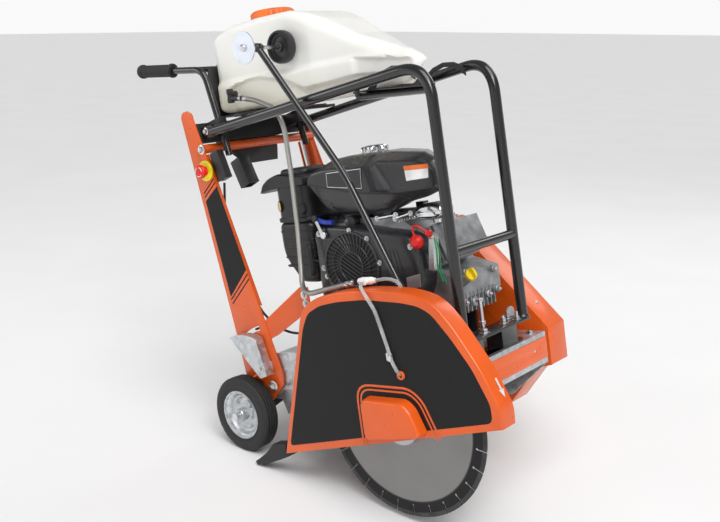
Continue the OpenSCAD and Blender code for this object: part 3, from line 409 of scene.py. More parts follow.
class Piece:
    """One visible mesh, drawn in the saw frame's millimetres and placed when it is done."""

    def __init__(self, name, material, body="saw_frame", place=SAW):
        self.name, self.material, self.body, self.place = name, material, body, place
        self.bm = bmesh.new()

    def loops(self, rings, closed_ends=True, closed_ring=False):
        """Skin between rings of equal length; a ring of one vertex closes to a point."""
        made = [[self.bm.verts.new(p) for p in ring] for ring in rings]
        pairs = list(zip(made, made[1:])) + ([(made[-1], made[0])] if closed_ring else [])
        for a, b in pairs:
            n = max(len(a), len(b))
            for k in range(n):
                corners = [a[k % len(a)], a[(k + 1) % len(a)], b[(k + 1) % len(b)], b[k % len(b)]]
                unique = list(dict.fromkeys(corners))
                if len(unique) > 2:
                    self.bm.faces.new(unique)
        if closed_ends and not closed_ring:
            for ring in (made[0], made[-1]):
                if len(ring) > 2:
                    self.bm.faces.new(ring)
        return made

    def prism(self, outline, y0, y1):
        """XZ outline given thickness from y0 to y1."""
        self.loops([[(p[0], y0, p[1]) for p in outline], [(p[0], y1, p[1]) for p in outline]])
        return self

    def box(self, low, high, turn=None, about=None):
        """Box between two corners, turned in the XZ plane by so many degrees about a point."""
        outline = [(low[0], low[2]), (high[0], low[2]), (high[0], high[2]), (low[0], high[2])]
        if turn is not None:
            c, s = math.cos(math.radians(turn)), math.sin(math.radians(turn))
            ax, az = about
            outline = [(ax + (x - ax) * c - (z - az) * s, az + (x - ax) * s + (z - az) * c)
                       for x, z in outline]
        return self.prism(outline, low[1], high[1])

    def tube(self, points, radius, sides=28, ripple=None, uv=False):
        """Round tube along a route. ripple(i) changes the radius ring by ring."""
        pts = [Vector(p) for p in points]
        u, _ = unit_axes(pts[1] - pts[0])
        rings = []
        for i, p in enumerate(pts):
            t = (pts[min(i + 1, len(pts) - 1)] - pts[max(i - 1, 0)]).normalized()
            u = (u - t * u.dot(t)).normalized()
            v = t.cross(u)
            r = radius + (ripple(i) if ripple else 0)
            rings.append(circle(p, u, v, r, sides))
        start = len(self.bm.faces)
        self.loops(rings)
        if uv:
            self.bm.faces.ensure_lookup_table()
            layer = self.bm.loops.layers.uv.get("route") or self.bm.loops.layers.uv.new("route")
            count = (len(rings) - 1) * sides
            length = [0.0]
            for a, b in zip(pts, pts[1:]):
                length.append(length[-1] + (b - a).length)
            for n in range(count):
                i, k = divmod(n, sides)
                face = self.bm.faces[start + n]
                around = [k, k + 1, k + 1, k]
                along = [i, i, i + 1, i + 1]
                for loop, a, b in zip(face.loops, around, along):
                    loop[layer].uv = (a / sides, length[b] / 1000)
        return self

    def lathe(self, profile, centre, axis, steps=64, closed=False):
        """Surface of revolution: profile holds (radius, distance along the axis)."""
        u, v = unit_axes(axis)
        d = Vector(axis).normalized()
        c = Vector(centre)
        rings = []
        for r, h in profile:
            if r < 1e-6:
                rings.append([c + d * h])
            else:
                rings.append(circle(c + d * h, u, v, r, steps))
        self.loops(rings, closed_ends=False, closed_ring=closed)
        return self

    def hexagon(self, centre, axis, radius, height, dome=1.5):
        """Hexagon head with a chamfered top."""
        u, v = unit_axes(axis)
        d, c = Vector(axis).normalized(), Vector(centre)
        rings = []
        for r, h in ((radius, 0), (radius, height - dome), (radius * 0.86, height)):
            rings.append(circle(c + d * h, u, v, r, 6))
        self.loops(rings)
        return self

    def bolt(self, centre, axis, radius, height=6.0, washer=True):
        """Washer, hexagon and the end of the screw."""
        c, d = Vector(centre), Vector(axis).normalized()
        if washer:
            self.lathe([(0, 0), (radius * 1.5, 0), (radius * 1.5, 1.2), (radius * 1.4, 1.6), (0, 1.6)], c,
                       axis, 28)
        self.hexagon(c + d * (1.5 if washer else 0), axis, radius, height)
        self.lathe([(radius * 0.5, height), (radius * 0.5, height + 2.5), (radius * 0.35, height + 3.2),
                    (0, height + 3.2)], c, axis, 18)
        return self

    def copy_node(self, name):
        """Starts from the CAD node's own surface, with its flat faces made whole again."""
        source = frame["nodes"][name].data
        self.bm.from_mesh(source)
        bmesh.ops.remove_doubles(self.bm, verts=self.bm.verts, dist=1e-6)
        bmesh.ops.dissolve_limit(self.bm, angle_limit=math.radians(0.6), verts=self.bm.verts,
                                 edges=self.bm.edges)
        self.place = Matrix.Identity(4)
        return self

    def bevel(self, width, segments=2, limit=28):
        """Rounds the sharp edges; width is in the piece's own unit."""
        sharp = [e for e in self.bm.edges
                 if len(e.link_faces) == 2 and e.calc_face_angle(0) > math.radians(limit)]
        bmesh.ops.bevel(self.bm, geom=sharp, offset=width, segments=segments, profile=0.6, affect="EDGES",
                        clamp_overlap=True)
        return self

    def done(self, replaces=(), slot=None, smooth=38):
        bm = self.bm
        bmesh.ops.recalc_face_normals(bm, faces=bm.faces)
        bm.normal_update()
        for face in bm.faces:
            face.smooth = True
        for edge in bm.edges:
            if len(edge.link_faces) == 2:
                edge.smooth = edge.calc_face_angle(0) < math.radians(smooth)
        mesh = bpy.data.meshes.new(self.name)
        bm.to_mesh(mesh)
        bm.free()
        mesh.transform(self.place)
        obj = bpy.data.objects.new(self.name, mesh)
        bpy.context.scene.collection.objects.link(obj)
        mesh.materials.append(M[self.material])
        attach(obj, self.body)
        if replaces:
            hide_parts(*([replaces] if isinstance(replaces, str) else replaces))
        return obj


def refined(node_name, material, slot, width=0.0008, segments=2):
    """The CAD node with its edges rounded and a real material."""
    body = frame["nodes"][node_name]["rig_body"]
    made = Piece(node_name + "_skin", material, body).copy_node(node_name)
    return made.bevel(width, segments).done(node_name, slot)


def keep(node_name, material):
    """A hidden CAD node that only takes a material."""
    obj = frame["nodes"][node_name]
    obj.data.materials.clear()
    obj.data.materials.append(M[material])


# ---------------------------------------------------------------- camera, floor and light

def set_camera():
    """The photo's own view, fitted to the blade and the rear wheel."""
    eye = saw_at(1333, -1548, 642)
    right = Vector((0.7610, 0.6488, 0))
    forward = Vector((-0.6283, 0.7369, -0.2495)).normalized()
    right = (right - forward * right.dot(forward)).normalized()
    up = right.cross(forward)
    data = bpy.data.cameras.new("view")
    data.lens, data.sensor_width = 47.26, 36
    camera = bpy.data.objects.new("view", data)
    camera.matrix_world = Matrix.Translation(eye) @ Matrix((right, up, -forward)).transposed().to_4x4()
    bpy.context.scene.collection.objects.link(camera)
    bpy.context.scene.camera = camera


def area_light(name, place, target, size, power):
    data = bpy.data.lights.new(name, "AREA")
    data.shape, data.size, data.energy = "DISK", size, power
    lamp = bpy.data.objects.new(name, data)
    lamp.location = place
    lamp.rotation_euler = (Vector(target) - Vector(place)).to_track_quat("-Z", "Y").to_euler()
    bpy.context.scene.collection.objects.link(lamp)


def set_stage():
    """White floor and surroundings, with a soft sun and three large lamps."""
    bm = bmesh.new()
    bmesh.ops.create_grid(bm, x_segments=2, y_segments=2, size=60)
    mesh = bpy.data.meshes.new("studio_floor")
    bm.to_mesh(mesh)
    bm.free()
    floor = bpy.data.objects.new("studio_floor", mesh)
    bpy.context.scene.collection.objects.link(floor)
    mat = new_material("studio_floor", (0.93, 0.93, 0.93), 0.6)
    vary_colour(mat, noise(mat, 2, 2), "Fac", (0.92, 0.92, 0.92), (0.94, 0.94, 0.94))
    mesh.materials.append(mat)
    world = bpy.data.worlds.new("studio")
    world.use_nodes = True
    sky = world.node_tree
    background = sky.nodes["Background"]
    background.inputs["Color"].default_value = (1, 1, 1, 1)
    # A white band low down, dimmer overhead, so that black paint stays black
    way = sky.nodes.new("ShaderNodeTexCoord")
    split = sky.nodes.new("ShaderNodeSeparateXYZ")
    level = sky.nodes.new("ShaderNodeMapRange")
    level.inputs["From Min"].default_value = 0.03
    level.inputs["From Max"].default_value = 0.22
    level.inputs["To Min"].default_value = 0.95
    level.inputs["To Max"].default_value = 0.26
    sky.links.new(way.outputs["Generated"], split.inputs["Vector"])
    sky.links.new(split.outputs["Z"], level.inputs["Value"])
    sky.links.new(level.outputs["Result"], background.inputs["Strength"])
    bpy.context.scene.world = world
    sun = bpy.data.lights.new("soft_sun", "SUN")
    sun.energy, sun.angle = 2.05, math.radians(50)
    lamp = bpy.data.objects.new("soft_sun", sun)
    lamp.rotation_euler = Vector((1.1, -0.9, 2.4)).to_track_quat("Z", "Y").to_euler()
    bpy.context.scene.collection.objects.link(lamp)
    area_light("key", (2.2, -1.4, 2.6), (0, 0, 0.5), 1.1, 22)
    area_light("fill", (-2.8, -2.2, 1.8), (0, 0, 0.5), 1.4, 14)
    area_light("rim", (0.5, 3.0, 2.8), (0, 0, 0.6), 1.8, 20)
    view = bpy.context.scene.view_settings
    view.view_transform = "Standard"
    view.exposure = 0.0


set_camera()
set_stage()

# ---------------------------------------------------------------- blade guard

GUARD = [(293, 21), (295, 60), (257, 142), (200, 229), (166, 268), (135, 288), (80, 301), (-20, 305),
         (-110, 299), (-175, 286), (-216, 266), (-236, 240), (-355, -108)]
PANEL = [(271, 33), (271, 70), (236, 143), (194, 203), (150, 255), (118, 271), (72, 278), (-30, 283),
         (-110, 277), (-167, 267), (-208, 248), (-230, 212), (-333, -86)]
HUMP = [(-64, -34), (105, -12), (78, 50), (57, 66), (-64, 65)]
GUARD_FACE = -40


def ribbon(piece, centreline, half, y0, y1):
    """Flat strip of constant width following an open XZ line."""
    left, right = [], []
    pts = [Vector(p) for p in centreline]
    for i, p in enumerate(pts):
        t = (pts[min(i + 1, len(pts) - 1)] - pts[max(i - 1, 0)]).normalized()
        n = Vector((-t.y, t.x))
        left.append(p + n * half)
        right.append(p - n * half)
    piece.prism(left + right[::-1], y0, y1)


def rounded_open(outline, radius, steps=6):
    """Open XZ outline with its inner corners rounded."""
    route = smooth_route([(x, z, 0) for x, z in outline], radius, steps)
    return [Vector((p.x, p.y)) for p in route]


def build_guard():
    shell = Piece("blade_guard_shell", "orange")
    edge = rounded_open(GUARD, 26)
    inner = offset_outline(edge, 2.5)
    inner[0] = edge[0] + Vector((-2.5, -0.5))
    inner[-1] = edge[-1] + Vector((2.5, 0.5))
    soft = 5.0
    rings = []
    for k in range(5):
        a = k / 4 * math.pi / 2
        ring = offset_outline(edge, soft * (1 - math.sin(a)))
        ring[0] = edge[0] + Vector((-soft * (1 - math.sin(a)), 0))
        ring[-1] = edge[-1] + Vector((soft * (1 - math.sin(a)), 0))
        rings.append([(p.x, GUARD_FACE + soft * (1 - math.cos(a)), p.y) for p in ring])
    outer_rim = rings + [[(p.x, 8, p.y) for p in edge]]
    count = len(edge)
    verts = [[shell.bm.verts.new(p) for p in ring] for ring in outer_rim]
    inside = [shell.bm.verts.new((p.x, GUARD_FACE + 2.5, p.y)) for p in inner]
    inside_far = [shell.bm.verts.new((p.x, 8, p.y)) for p in inner]
    for a, b in zip(verts, verts[1:]):
        for k in range(count - 1):
            shell.bm.faces.new([a[k], a[k + 1], b[k + 1], b[k]])
    for k in range(count - 1):
        shell.bm.faces.new([inside[k], inside[k + 1], inside_far[k + 1], inside_far[k]])
        shell.bm.faces.new([verts[-1][k], verts[-1][k + 1], inside_far[k + 1], inside_far[k]])
    shell.bm.faces.new(verts[0])
    shell.bm.faces.new(inside)
    # Far sheet, with the slot that drops over the shaft
    turn = [math.pi - math.pi * k / 24 for k in range(25)]
    slot = [(-64, -51)] + [(64 * math.cos(t), 64 * math.sin(t)) for t in turn] + [(64, -26)]
    far_edge = [(p.x, p.y) for p in edge] + slot
    for y in (5.5, 8):
        shell.bm.faces.new([shell.bm.verts.new((x, y, z)) for x, z in far_edge])
    # Soft hump over the end of the blade shaft
    base = round_outline(HUMP, 20, 7)
    centre = Vector((15, 8))

    def towards_middle(p):
        """Direction a point moves in as the hump narrows; the points on its foot stay on the foot."""
        on_foot = p.y <= -30 + p.x * 0.12
        return Vector((centre.x - p.x, 0)).normalized() if on_foot else (centre - p).normalized()

    hump_rings = [[(p.x, GUARD_FACE + 0.5, p.y) for p in base]]
    for k in range(7):
        t = k / 6 * math.pi / 2
        inward = 3 + 9 * (1 - math.cos(t))
        ring = [p + towards_middle(p) * inward for p in base]
        y = GUARD_FACE - 19 - 9 * math.sin(t)
        hump_rings.append([(p.x, y, p.y) for p in ring])
    shell.loops(hump_rings)
    for x, z in ((-210, 85), (-110, -28), (-255, 60)):
        shell.lathe([(0, 7), (9, 7), (9, 57), (0, 57)], (x, 0, z), TO_FAR, 28)
    shell.done("blade_guard", "orange_steel", 32)
    panel = Piece("guard_panel", "vinyl")
    panel.prism(round_outline(PANEL, 14, 5), GUARD_FACE - 0.35, GUARD_FACE + 0.1)
    panel.done(slot="black_plastic")
    stripes = Piece("guard_pinstripes", "orange_dark")
    arch = [(-70, -56), (-70, 71), (60, 72), (84, 54), (118, -24)]
    for distance, half in ((7.5, 2.2), (17.5, 2.6)):
        line = []
        pts = [Vector(p) for p in arch]
        for i, b in enumerate(pts):
            a = pts[i - 1] if i else b * 2 - pts[1]
            c = pts[i + 1] if i < len(pts) - 1 else b * 2 - pts[-2]
            u, v = (b - a).normalized(), (c - b).normalized()
            n, m = Vector((-u.y, u.x)), Vector((-v.y, v.x))
            line.append(b + (n + m) * distance / (1 + n.dot(m)))
        ribbon(stripes, rounded_open(line, 24 + distance), half, GUARD_FACE - 0.6, GUARD_FACE - 0.3)
    stripes.done(slot="orange_steel")
    arrow = Piece("guard_arrow", "white")
    down = Vector((0.42, 0, -0.907))
    out = Vector((0.907, 0, 0.42))
    start = Vector((268, -8, 118)) + out * 0.9
    shaft_outline = ((0, -2.6), (0, 2.6), (26, 2.6), (26, -2.6))
    head_outline = ((25, -8), (25, 8), (42, 0))
    for outline in (shaft_outline, head_outline):
        arrow.loops([[start + down * t + out * h + Vector((0, w, 0)) for t, w in outline]
                     for h in (-0.4, 0.3)])
    arrow.done(slot="orange_steel")
    flap = Piece("guard_flap_rubber", "rubber").copy_node("guard_flap")
    flap.bevel(0.0012, 2).done("guard_flap", "rubber_black")


build_guard()

# ---------------------------------------------------------------- blade and wheels

def build_blade():
    for name, mat, slot in (("saw_blade", "blade", "bright_steel"),
                            ("blade_segments", "segment", "grey_cast_iron")):
        refined(name, mat, slot, 0.0002, 1)
    refined("blade_flanges", "steel", "bright_steel", 0.0012)
    for name, mat, slot in (("blade_shaft", "steel", "bright_steel"),
                            ("driven_pulley", "iron", "grey_cast_iron"),
                            ("crankshaft", "steel", "bright_steel"),
                            ("crank_pulley", "iron", "grey_cast_iron"),
                            ("drive_belt", "rubber", "rubber_black"),
                            ("shaft_bearings", "iron", "grey_cast_iron")):
        keep(name, mat)


def build_wheel(place, radius, rim_r, width, centre, body, nodes):
    """Grooved tyre on a two-part dished rim with its bolts."""
    x, y, z = centre
    axis = TO_FAR
    half = width / 2
    tyre = Piece(place + "_tyre", "tyre", body, FLOOR)
    grooves = []
    for h in (-0.62, -0.25, 0.12, 0.49):
        grooves += [(radius - 0.5 - 2.5 * abs(h + 0.06) ** 3, h * half),
                    (radius - 4, (h + 0.03) * half),
                    (radius - 4, (h + 0.12) * half),
                    (radius - 0.5 - 2.5 * abs(h + 0.2) ** 3, (h + 0.15) * half)]
    side = [(rim_r + 1.5, 0.86), (rim_r + 3, 1.0), (rim_r + 7, 1.02), (rim_r + 9, 0.97),
            (rim_r + 12, 1.02), (radius - 20, 1.05), (radius - 13, 1.04), (radius - 11, 1.0),
            (radius - 6, 0.95), (radius - 2.5, 0.84), (radius - 1, 0.74)]
    profile = [(r, -h * half) for r, h in side] + grooves + [(r, h * half) for r, h in reversed(side)]
    tyre.lathe(profile, (x, y, z), axis, 96, closed=True)
    tyre.done(nodes[1], "tyre_rubber", 30)
    rim = Piece(place + "_rim", "zinc", body, FLOOR)
    dish = [(10.1, half + 5.5), (15, half + 5.5), (16.5, half + 3), (16.5, 7), (rim_r * 0.42, 5),
            (rim_r * 0.5, 7.5), (rim_r * 0.62, 7.5), (rim_r * 0.7, 4), (rim_r * 0.8, 5),
            (rim_r * 0.87, half * 0.55), (rim_r * 0.93, half * 0.72), (rim_r - 1, half * 0.78),
            (rim_r, half * 0.94), (rim_r + 2.6, half * 1.0), (rim_r + 2.6, half * 0.94),
            (rim_r - 0.5, half * 0.7)]
    rim.lathe([(r, -h) for r, h in dish] + [(r, h) for r, h in reversed(dish)], (x, y, z), axis, 72,
              closed=True)
    for side_sign in (-1, 1):
        for k in range(4):
            a = TAU * (k + 0.5) / 4
            c = (x + rim_r * 0.56 * math.cos(a), y + side_sign * 7.5, z + rim_r * 0.56 * math.sin(a))
            rim.bolt(c, (0, side_sign, 0), rim_r * 0.075, 4, washer=False)
    rim.done(nodes[0], "zinc", 30)


def wheel_of(name, rim_node, tyre_node, width):
    """Wheel built to the size and place of its CAD nodes."""
    low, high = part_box(tyre_node)
    middle = (low + high) * 0.5
    local = FLOOR.inverted() @ middle
    radius = (high.z - low.z) * 1000 / 2
    rim_low, rim_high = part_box(rim_node)
    rim_r = (rim_high.z - rim_low.z) * 1000 / 2 - 2
    body = frame["nodes"][rim_node]["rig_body"]
    build_wheel(name, radius, rim_r, width, (local.x, local.y, local.z), body, (rim_node, tyre_node))


build_blade()
for end, w in (("rear", 45), ("front", 36)):
    for side in ("near", "far"):
        wheel_of(f"{end}_{side}", f"{end}_rim_{side}", f"{end}_tyre_{side}", w)

# ---------------------------------------------------------------- sheet metal and tubes

for name, mat, slot, width in (
        ("chassis", "zinc", "zinc", 0.0008), ("front_plate", "orange", "orange_steel", 0.0006),
        ("engine_base", "black_satin", "black_steel", 0.001),
        ("rear_post_near", "orange", "orange_steel", 0.0008),
        ("rear_post_far", "orange", "orange_steel", 0.0008), ("post_tie", "orange", "orange_steel", 0.0004),
        ("console", "black_satin", "black_steel", 0.001),
        ("front_bracket", "black", "black_steel", 0.0014), ("tank_tray", "black_satin", "black_steel", 0.001),
        ("belt_guard", "orange", "orange_steel", 0.0018),
        ("belt_guard_back", "orange", "orange_steel", 0.0006),
        ("wheel_frame", "black_satin", "black_steel", 0.001), ("axles", "bright", "bright_steel", 0.001),
        ("switch_box", "plastic", "black_plastic", 0.0022), ("stop_ring", "ring", "yellow_plastic", 0.0006),
        ("spindle_nut", "brass", "brass_nut", 0.0006), ("depth_spindle", "bright", "bright_steel", 0.0006)):
    refined(name, mat, slot, width)

TUBE_R, THIN_R = 12.5, 9


def build_tube_frame():
    tubes = Piece("tube_frame_bent", "black")
    near = smooth_route([(-570, 70, 698), (145, 65, 767), (150, 65, 170)], 80, 14)
    far = smooth_route([(-570, 420, 698), (145, 305, 767), (150, 305, 170)], 80, 14)
    for route in (near, far):
        tubes.tube(route, TUBE_R, 36)
    tubes.tube([(149, 70, 365), (149, 300, 365)], 11, 28)
    tubes.tube([(-60, 72, 722), (-60, 332, 722)], 9, 24)
    for y in (68, 322):
        tubes.tube([(-60, y, 722), (-60, y, 742)], 6, 20)
    for y in (66, 414):
        tubes.box((-606, y, 681), (-562, y + 8, 711), turn=5.5, about=(-606, 681))
    for x, y in ((150, 65), (150, 305)):
        tubes.lathe([(TUBE_R, 170), (TUBE_R + 3, 170), (TUBE_R + 1.2, 172), (TUBE_R, 174.5)], (x, y, 0),
                    UP, 36, closed=True)
    tubes.done("tube_frame", "black_steel")


def build_depth_bracket():
    bracket = Piece("depth_bracket", "zinc")
    rim = [(-572, 161), (-545, 168), (-515, 170), (-490, 166), (-471, 160), (-448, 64)]
    bracket.prism(round_outline([(-474, 56)] + rim[::-1], 3, 3), 20, 23)
    ribbon(bracket, [(x, z - 1.5) for x, z in rim[:5]], 1.5, 22.5, 45.5)
    ribbon(bracket, [(-472.5, 158), (-449.5, 64)], 1.5, 22.5, 45.5)
    bracket.box((-470, 45, 62), (-452, 49.5, 96))
    bracket.done("depth_scale", "zinc")


def build_bolts():
    bolts = Piece("frame_screws", "bright")
    bolts.bolt((-456, 44, 30), TO_NEAR, 10, 7)
    bolts.bolt((-456, 471, 30), TO_FAR, 10, 7)
    bolts.tube([(-456, 44, 30), (-456, 471, 30)], 8, 24)
    bolts.bolt((-600, 50, 655), TO_NEAR, 8.5, 6)
    bolts.bolt((-600, 465, 655), TO_FAR, 8.5, 6)
    bolts.bolt((150, 143, 170), UP, 9, 7)
    bolts.tube([(137, 158, 170), (137, 158, 238)], 5, 20)
    bolts.hexagon((137, 158, 238), UP, 9, 7)
    bolts.hexagon((137, 158, 186), UP, 9, 7)
    for x, y in ((146, 228), (156, 270), (128, 274)):
        bolts.bolt((x, y, 170), UP, 7, 6)
        bolts.tube([(x, y, 176), (x, y, 189)], 3.6, 16)
    bolts.bolt((146, 228, 179), UP, 7, 6, washer=False)
    bolts.bolt((146, 334, 120), UP, 8, 5)
    for y in (120, 305):
        bolts.lathe([(0, 0), (3.8, 0), (3.8, 2.4), (3.2, 2.8), (1.6, 2.2), (0, 2.2)], (170.1, y, 85),
                    AHEAD, 24)
    bolts.bolt((-467, 20, 82), TO_NEAR, 6, 4)
    bolts.bolt((-590, 66, 700), TO_NEAR, 6.5, 5)
    for x, z in ((-306, 270), (-303, 248)):
        bolts.bolt((x, 53.5, z), TO_NEAR, 7, 4)
    bolts.bolt((100, 22, 98), TO_NEAR, 8, 5)
    for x, z in ((-85, 405.0), (123, 176.0)):
        bolts.lathe([(0, -2), (5.5, -1), (5.2, 1.5), (3.2, 2.6), (0, 2.6)], (x, 416, z), (0.74, 0, 0.67), 24)
    bolts.done("frame_bolts", "bright_steel")


def build_handlebar():
    lean = math.radians(12.5)

    def leg(t, y):
        """Point on the leg, t above the clamp."""
        return (-574 - t * math.sin(lean), y, 731 + t * math.cos(lean))

    bar = Piece("handlebar_tube", "black", "handlebar_body")
    grips = Piece("handle_grips", "rubber", "handlebar_body")
    for y in (100, 389):
        bar.tube(smooth_route([(-858, y, 891), leg(131, y), leg(-102, y)], 34, 10), THIN_R, 30)
        axis = Vector((-138, 0, 16.8)).normalized()
        start = Vector((-724, y, 874.8))
        ribs = [(THIN_R + 0.3, 0), (17, 0), (19, 2), (19, 6), (16, 8)]
        at = 8.0
        while at < 124:
            ribs += [(15.4, at), (16.6, at + 1.6), (16.8, at + 5.2), (15.4, at + 6.8)]
            at += 8.4
        ribs += [(16, 126), (19, 128), (19, 135), (17.5, 138.5), (6, 139), (0, 139)]
        grips.lathe(ribs, start, axis, 48)
    bar.tube([(-648, 104, 864.8), (-648, 385, 864.8)], 8, 24)
    bar.done("handlebar", "black_steel")
    grips.done("grips", "rubber_black", 30)


def build_pointer():
    arm = Piece("pointer_tube", "black", "pointer_body")
    route = smooth_route([(100, 35, 98), (22, 35, 289), (-100, 35, 554), (-315, 35, 867)], 40, 10)
    arm.tube(route, 8, 30)
    arm.lathe([(6.05, -8), (13.4, -8), (14, -7), (14, 7), (13.4, 8), (6.05, 8)], (100, 35, 98), TO_FAR,
              40, closed=True)
    arm.lathe([(0, -9), (9, -9), (10.5, -7), (10.5, 7), (9, 9), (0, 9)], (-318, 35, 872), TO_FAR, 36)
    arm.done("pointer_arm", "black_steel")
    pin = Piece("pointer_axle", "bright", "pointer_body")
    pin.tube([(-318, -16, 872), (-318, 130, 872)], 4.6, 24)
    pin.lathe([(0, -20), (5, -20), (8, -17.5), (8.4, -15), (8.4, -13.2), (0, -13.2)], (-318, 0, 872),
              TO_FAR, 28)
    pin.hexagon((-318, -9.8, 872), TO_FAR, 8, 5)
    pin.hexagon((-318, 44, 872), TO_FAR, 8, 6)
    pin.done(slot="bright_steel")
    wheel = Piece("pointer_wheel_moulded", "plastic", "pointer_wheel_body")
    wheel.lathe([(6.05, 1), (12, 1), (13, 3), (13, 7), (28, 12), (32, 10), (33.5, 2), (36, 0.4), (38.5, 2),
                 (40, 7), (40, 19), (38.5, 24), (36, 26), (33, 26.5), (30, 22), (27, 17), (13, 17),
                 (12, 26), (6.05, 26)], (-318, 99, 872), TO_FAR, 64, closed=True)
    wheel.done("pointer_wheel", "black_plastic", 30)
    disc = Piece("pointer_disc_plate", "disc", "pointer_disc_body")
    disc.lathe([(6.05, -13), (36.9, -13), (37.5, -12.6), (37.5, -10.4), (36.9, -10), (6.05, -10)],
               (-318, 0, 872), TO_FAR, 72, closed=True)
    disc.done("pointer_disc", "bright_steel", 30)


build_tube_frame()
build_depth_bracket()
build_bolts()
build_handlebar()
build_pointer()

# ---------------------------------------------------------------- water tank and hoses

def smoothstep(a, b, x):
    """0 before a, 1 beyond b, eased between them; a may be the larger one."""
    t = max(0.0, min(1.0, (x - a) / (b - a)))
    return t * t * (3 - 2 * t)


def curve(table, x):
    """Value at x on the straight lines that join the (x, value) pairs."""
    if x <= table[0][0]:
        return table[0][1]
    for (x0, v0), (x1, v1) in zip(table, table[1:]):
        if x <= x1:
            t = (x - x0) / (x1 - x0)
            return v0 + (v1 - v0) * t
    return table[-1][1]


def superellipse(t, a, b, power):
    """Point at angle t on a superellipse with the half axes a and b."""
    c, s = math.cos(t), math.sin(t)
    return a * math.copysign(abs(c) ** (2 / power), c), b * math.copysign(abs(s) ** (2 / power), s)


def rounded_section(y0, y1, z0, z1, top_r, low_r, near_count=34):
    """Rounded rectangle seen along X, as (y, z) points from the near bottom corner, evenly spaced up the
    near side."""
    top_r = min(top_r, (y1 - y0) * 0.45, (z1 - z0) * 0.45)
    low_r = min(low_r, (y1 - y0) * 0.45, (z1 - z0) * 0.45)
    out = []

    def arc(cy, cz, r, start):
        for k in range(7):
            t = math.radians(start - 90 * k / 6)
            out.append((cy + r * math.cos(t), cz + r * math.sin(t)))

    for k in range(near_count):
        out.append((y0, z0 + low_r + (z1 - top_r - z0 - low_r) * k / near_count))
    arc(y0 + top_r, z1 - top_r, top_r, 180)
    for k in range(1, 9):
        out.append((y0 + top_r + (y1 - y0 - 2 * top_r) * k / 9, z1))
    arc(y1 - top_r, z1 - top_r, top_r, 90)
    for k in range(1, 9):
        out.append((y1, z1 - top_r - (z1 - z0 - top_r - low_r) * k / 9))
    arc(y1 - low_r, z0 + low_r, low_r, 0)
    for k in range(1, 9):
        out.append((y1 - low_r - (y1 - y0 - 2 * low_r) * k / 9, z0))
    arc(y0 + low_r, z0 + low_r, low_r, -90)
    return out[:-1]


def ribbed_cap(cap, foot, rows, rib_depth, rib_steps, steps, hollow):
    """Screw cap, hollow below. rows are (radius, height, share of the rib depth), from the foot up."""
    def ring(height, radius_at):
        return [(foot.x + radius_at(k) * math.cos(TAU * k / steps),
                 foot.y + radius_at(k) * math.sin(TAU * k / steps),
                 foot.z + height)
                for k in range(steps)]

    outer = [ring(h, lambda k, r=r, rib=rib: r - rib * rib_depth * (k % rib_steps < rib_steps / 2))
             for r, h, rib in rows]
    hollow_radius, hollow_height = hollow
    inner = [ring(h, lambda k: hollow_radius) for h in (hollow_height, 0)]
    inner_top = [(foot.x, foot.y, foot.z + hollow_height)]
    outer_top = [(foot.x, foot.y, foot.z + rows[-1][1])]
    cap.loops([inner_top] + inner + outer + [outer_top], closed_ends=False)


def build_water_tank():
    tank = Piece("water_tank_shell", "tank")
    top = [(-600, 922), (-597, 931), (-590, 937), (-575, 943), (-520, 957), (-420, 960), (-310, 957),
           (-270, 947), (-218, 924), (-130, 873), (-40, 836), (24, 812), (46, 799), (56, 788)]
    low = [(-600, 775), (-597, 756), (-588, 744), (-565, 738), (-14, 738), (20, 752), (42, 768), (56, 782)]
    near = [(-600, 146), (-597, 136), (-590, 129.5), (-578, 126.5), (-250, 126.5), (-200, 136),
            (-150, 142), (20, 150), (42, 157), (56, 180)]
    far = [(-600, 350), (-594, 362), (-578, 371), (-560, 373), (-340, 368), (-250, 343), (-130, 304),
           (-90, 284), (-50, 256), (-10, 226), (26, 200), (48, 188), (56, 184)]
    arch = [(-548, 768), (-541, 800), (-520, 808), (-476, 814), (-430, 814), (-349, 799), (-279, 766)]
    ledge = [(-128, 817), (45, 790)]
    wall_foot = [(-290, 760), (-270, 768), (-180, 773), (-120, 778), (41, 764)]
    rings, count = [], 132
    for i in range(count + 1):
        x = -599.5 + 655 * (0.5 - 0.5 * math.cos(math.pi * i / count)) * 0.5 + 655 * 0.5 * i / count
        ring = []
        top_radius = 15 + 17 * smoothstep(-360, -220, x)
        for y, z in rounded_section(curve(near, x), curve(far, x), curve(low, x), curve(top, x),
                                    top_radius, 13, 44):
            side = smoothstep(curve(near, x) + 34, curve(near, x) + 8, y)
            y += 9 * side * smoothstep(806, 826, z)
            inside_arch = (smoothstep(curve(arch, x) + 3, curve(arch, x) - 5, z)
                           * smoothstep(-549, -541, x) * smoothstep(-274, -290, x))
            y += 11 * side * inside_arch
            y += (10 * side * smoothstep(curve(ledge, x) + 2, curve(ledge, x) - 6, z)
                  * smoothstep(-132, -122, x) * smoothstep(40, 20, x))
            y += (22 * side * smoothstep(curve(wall_foot, x) + 1, curve(wall_foot, x) - 5, z)
                  * smoothstep(-290, -276, x) * smoothstep(50, 10, x))
            ring.append((x, y, z))
        rings.append(ring)
    tank.loops(rings)
    tank.lathe([(57, 950), (53, 960), (47.5, 962), (47.5, 977), (45, 978), (0, 978)], (-470, 250, 0),
               UP, 56)
    tank.done("water_tank", "tank_plastic", 50)

    cap = Piece("tank_cap_ribbed", "cap", "tank_cap_body")
    rows = ((58, 0, 1), (58, 15, 1), (55, 19, 0.6), (50, 22, 0), (38, 23.6, 0), (30, 23.8, 0),
            (28, 22.2, 0), (8, 22.4, 0))
    ribbed_cap(cap, Vector((-470, 250, 965.6)), rows, rib_depth=1.3, rib_steps=4, steps=120,
               hollow=(48.6, 13))
    cap.done("tank_cap", "orange_plastic", 32)


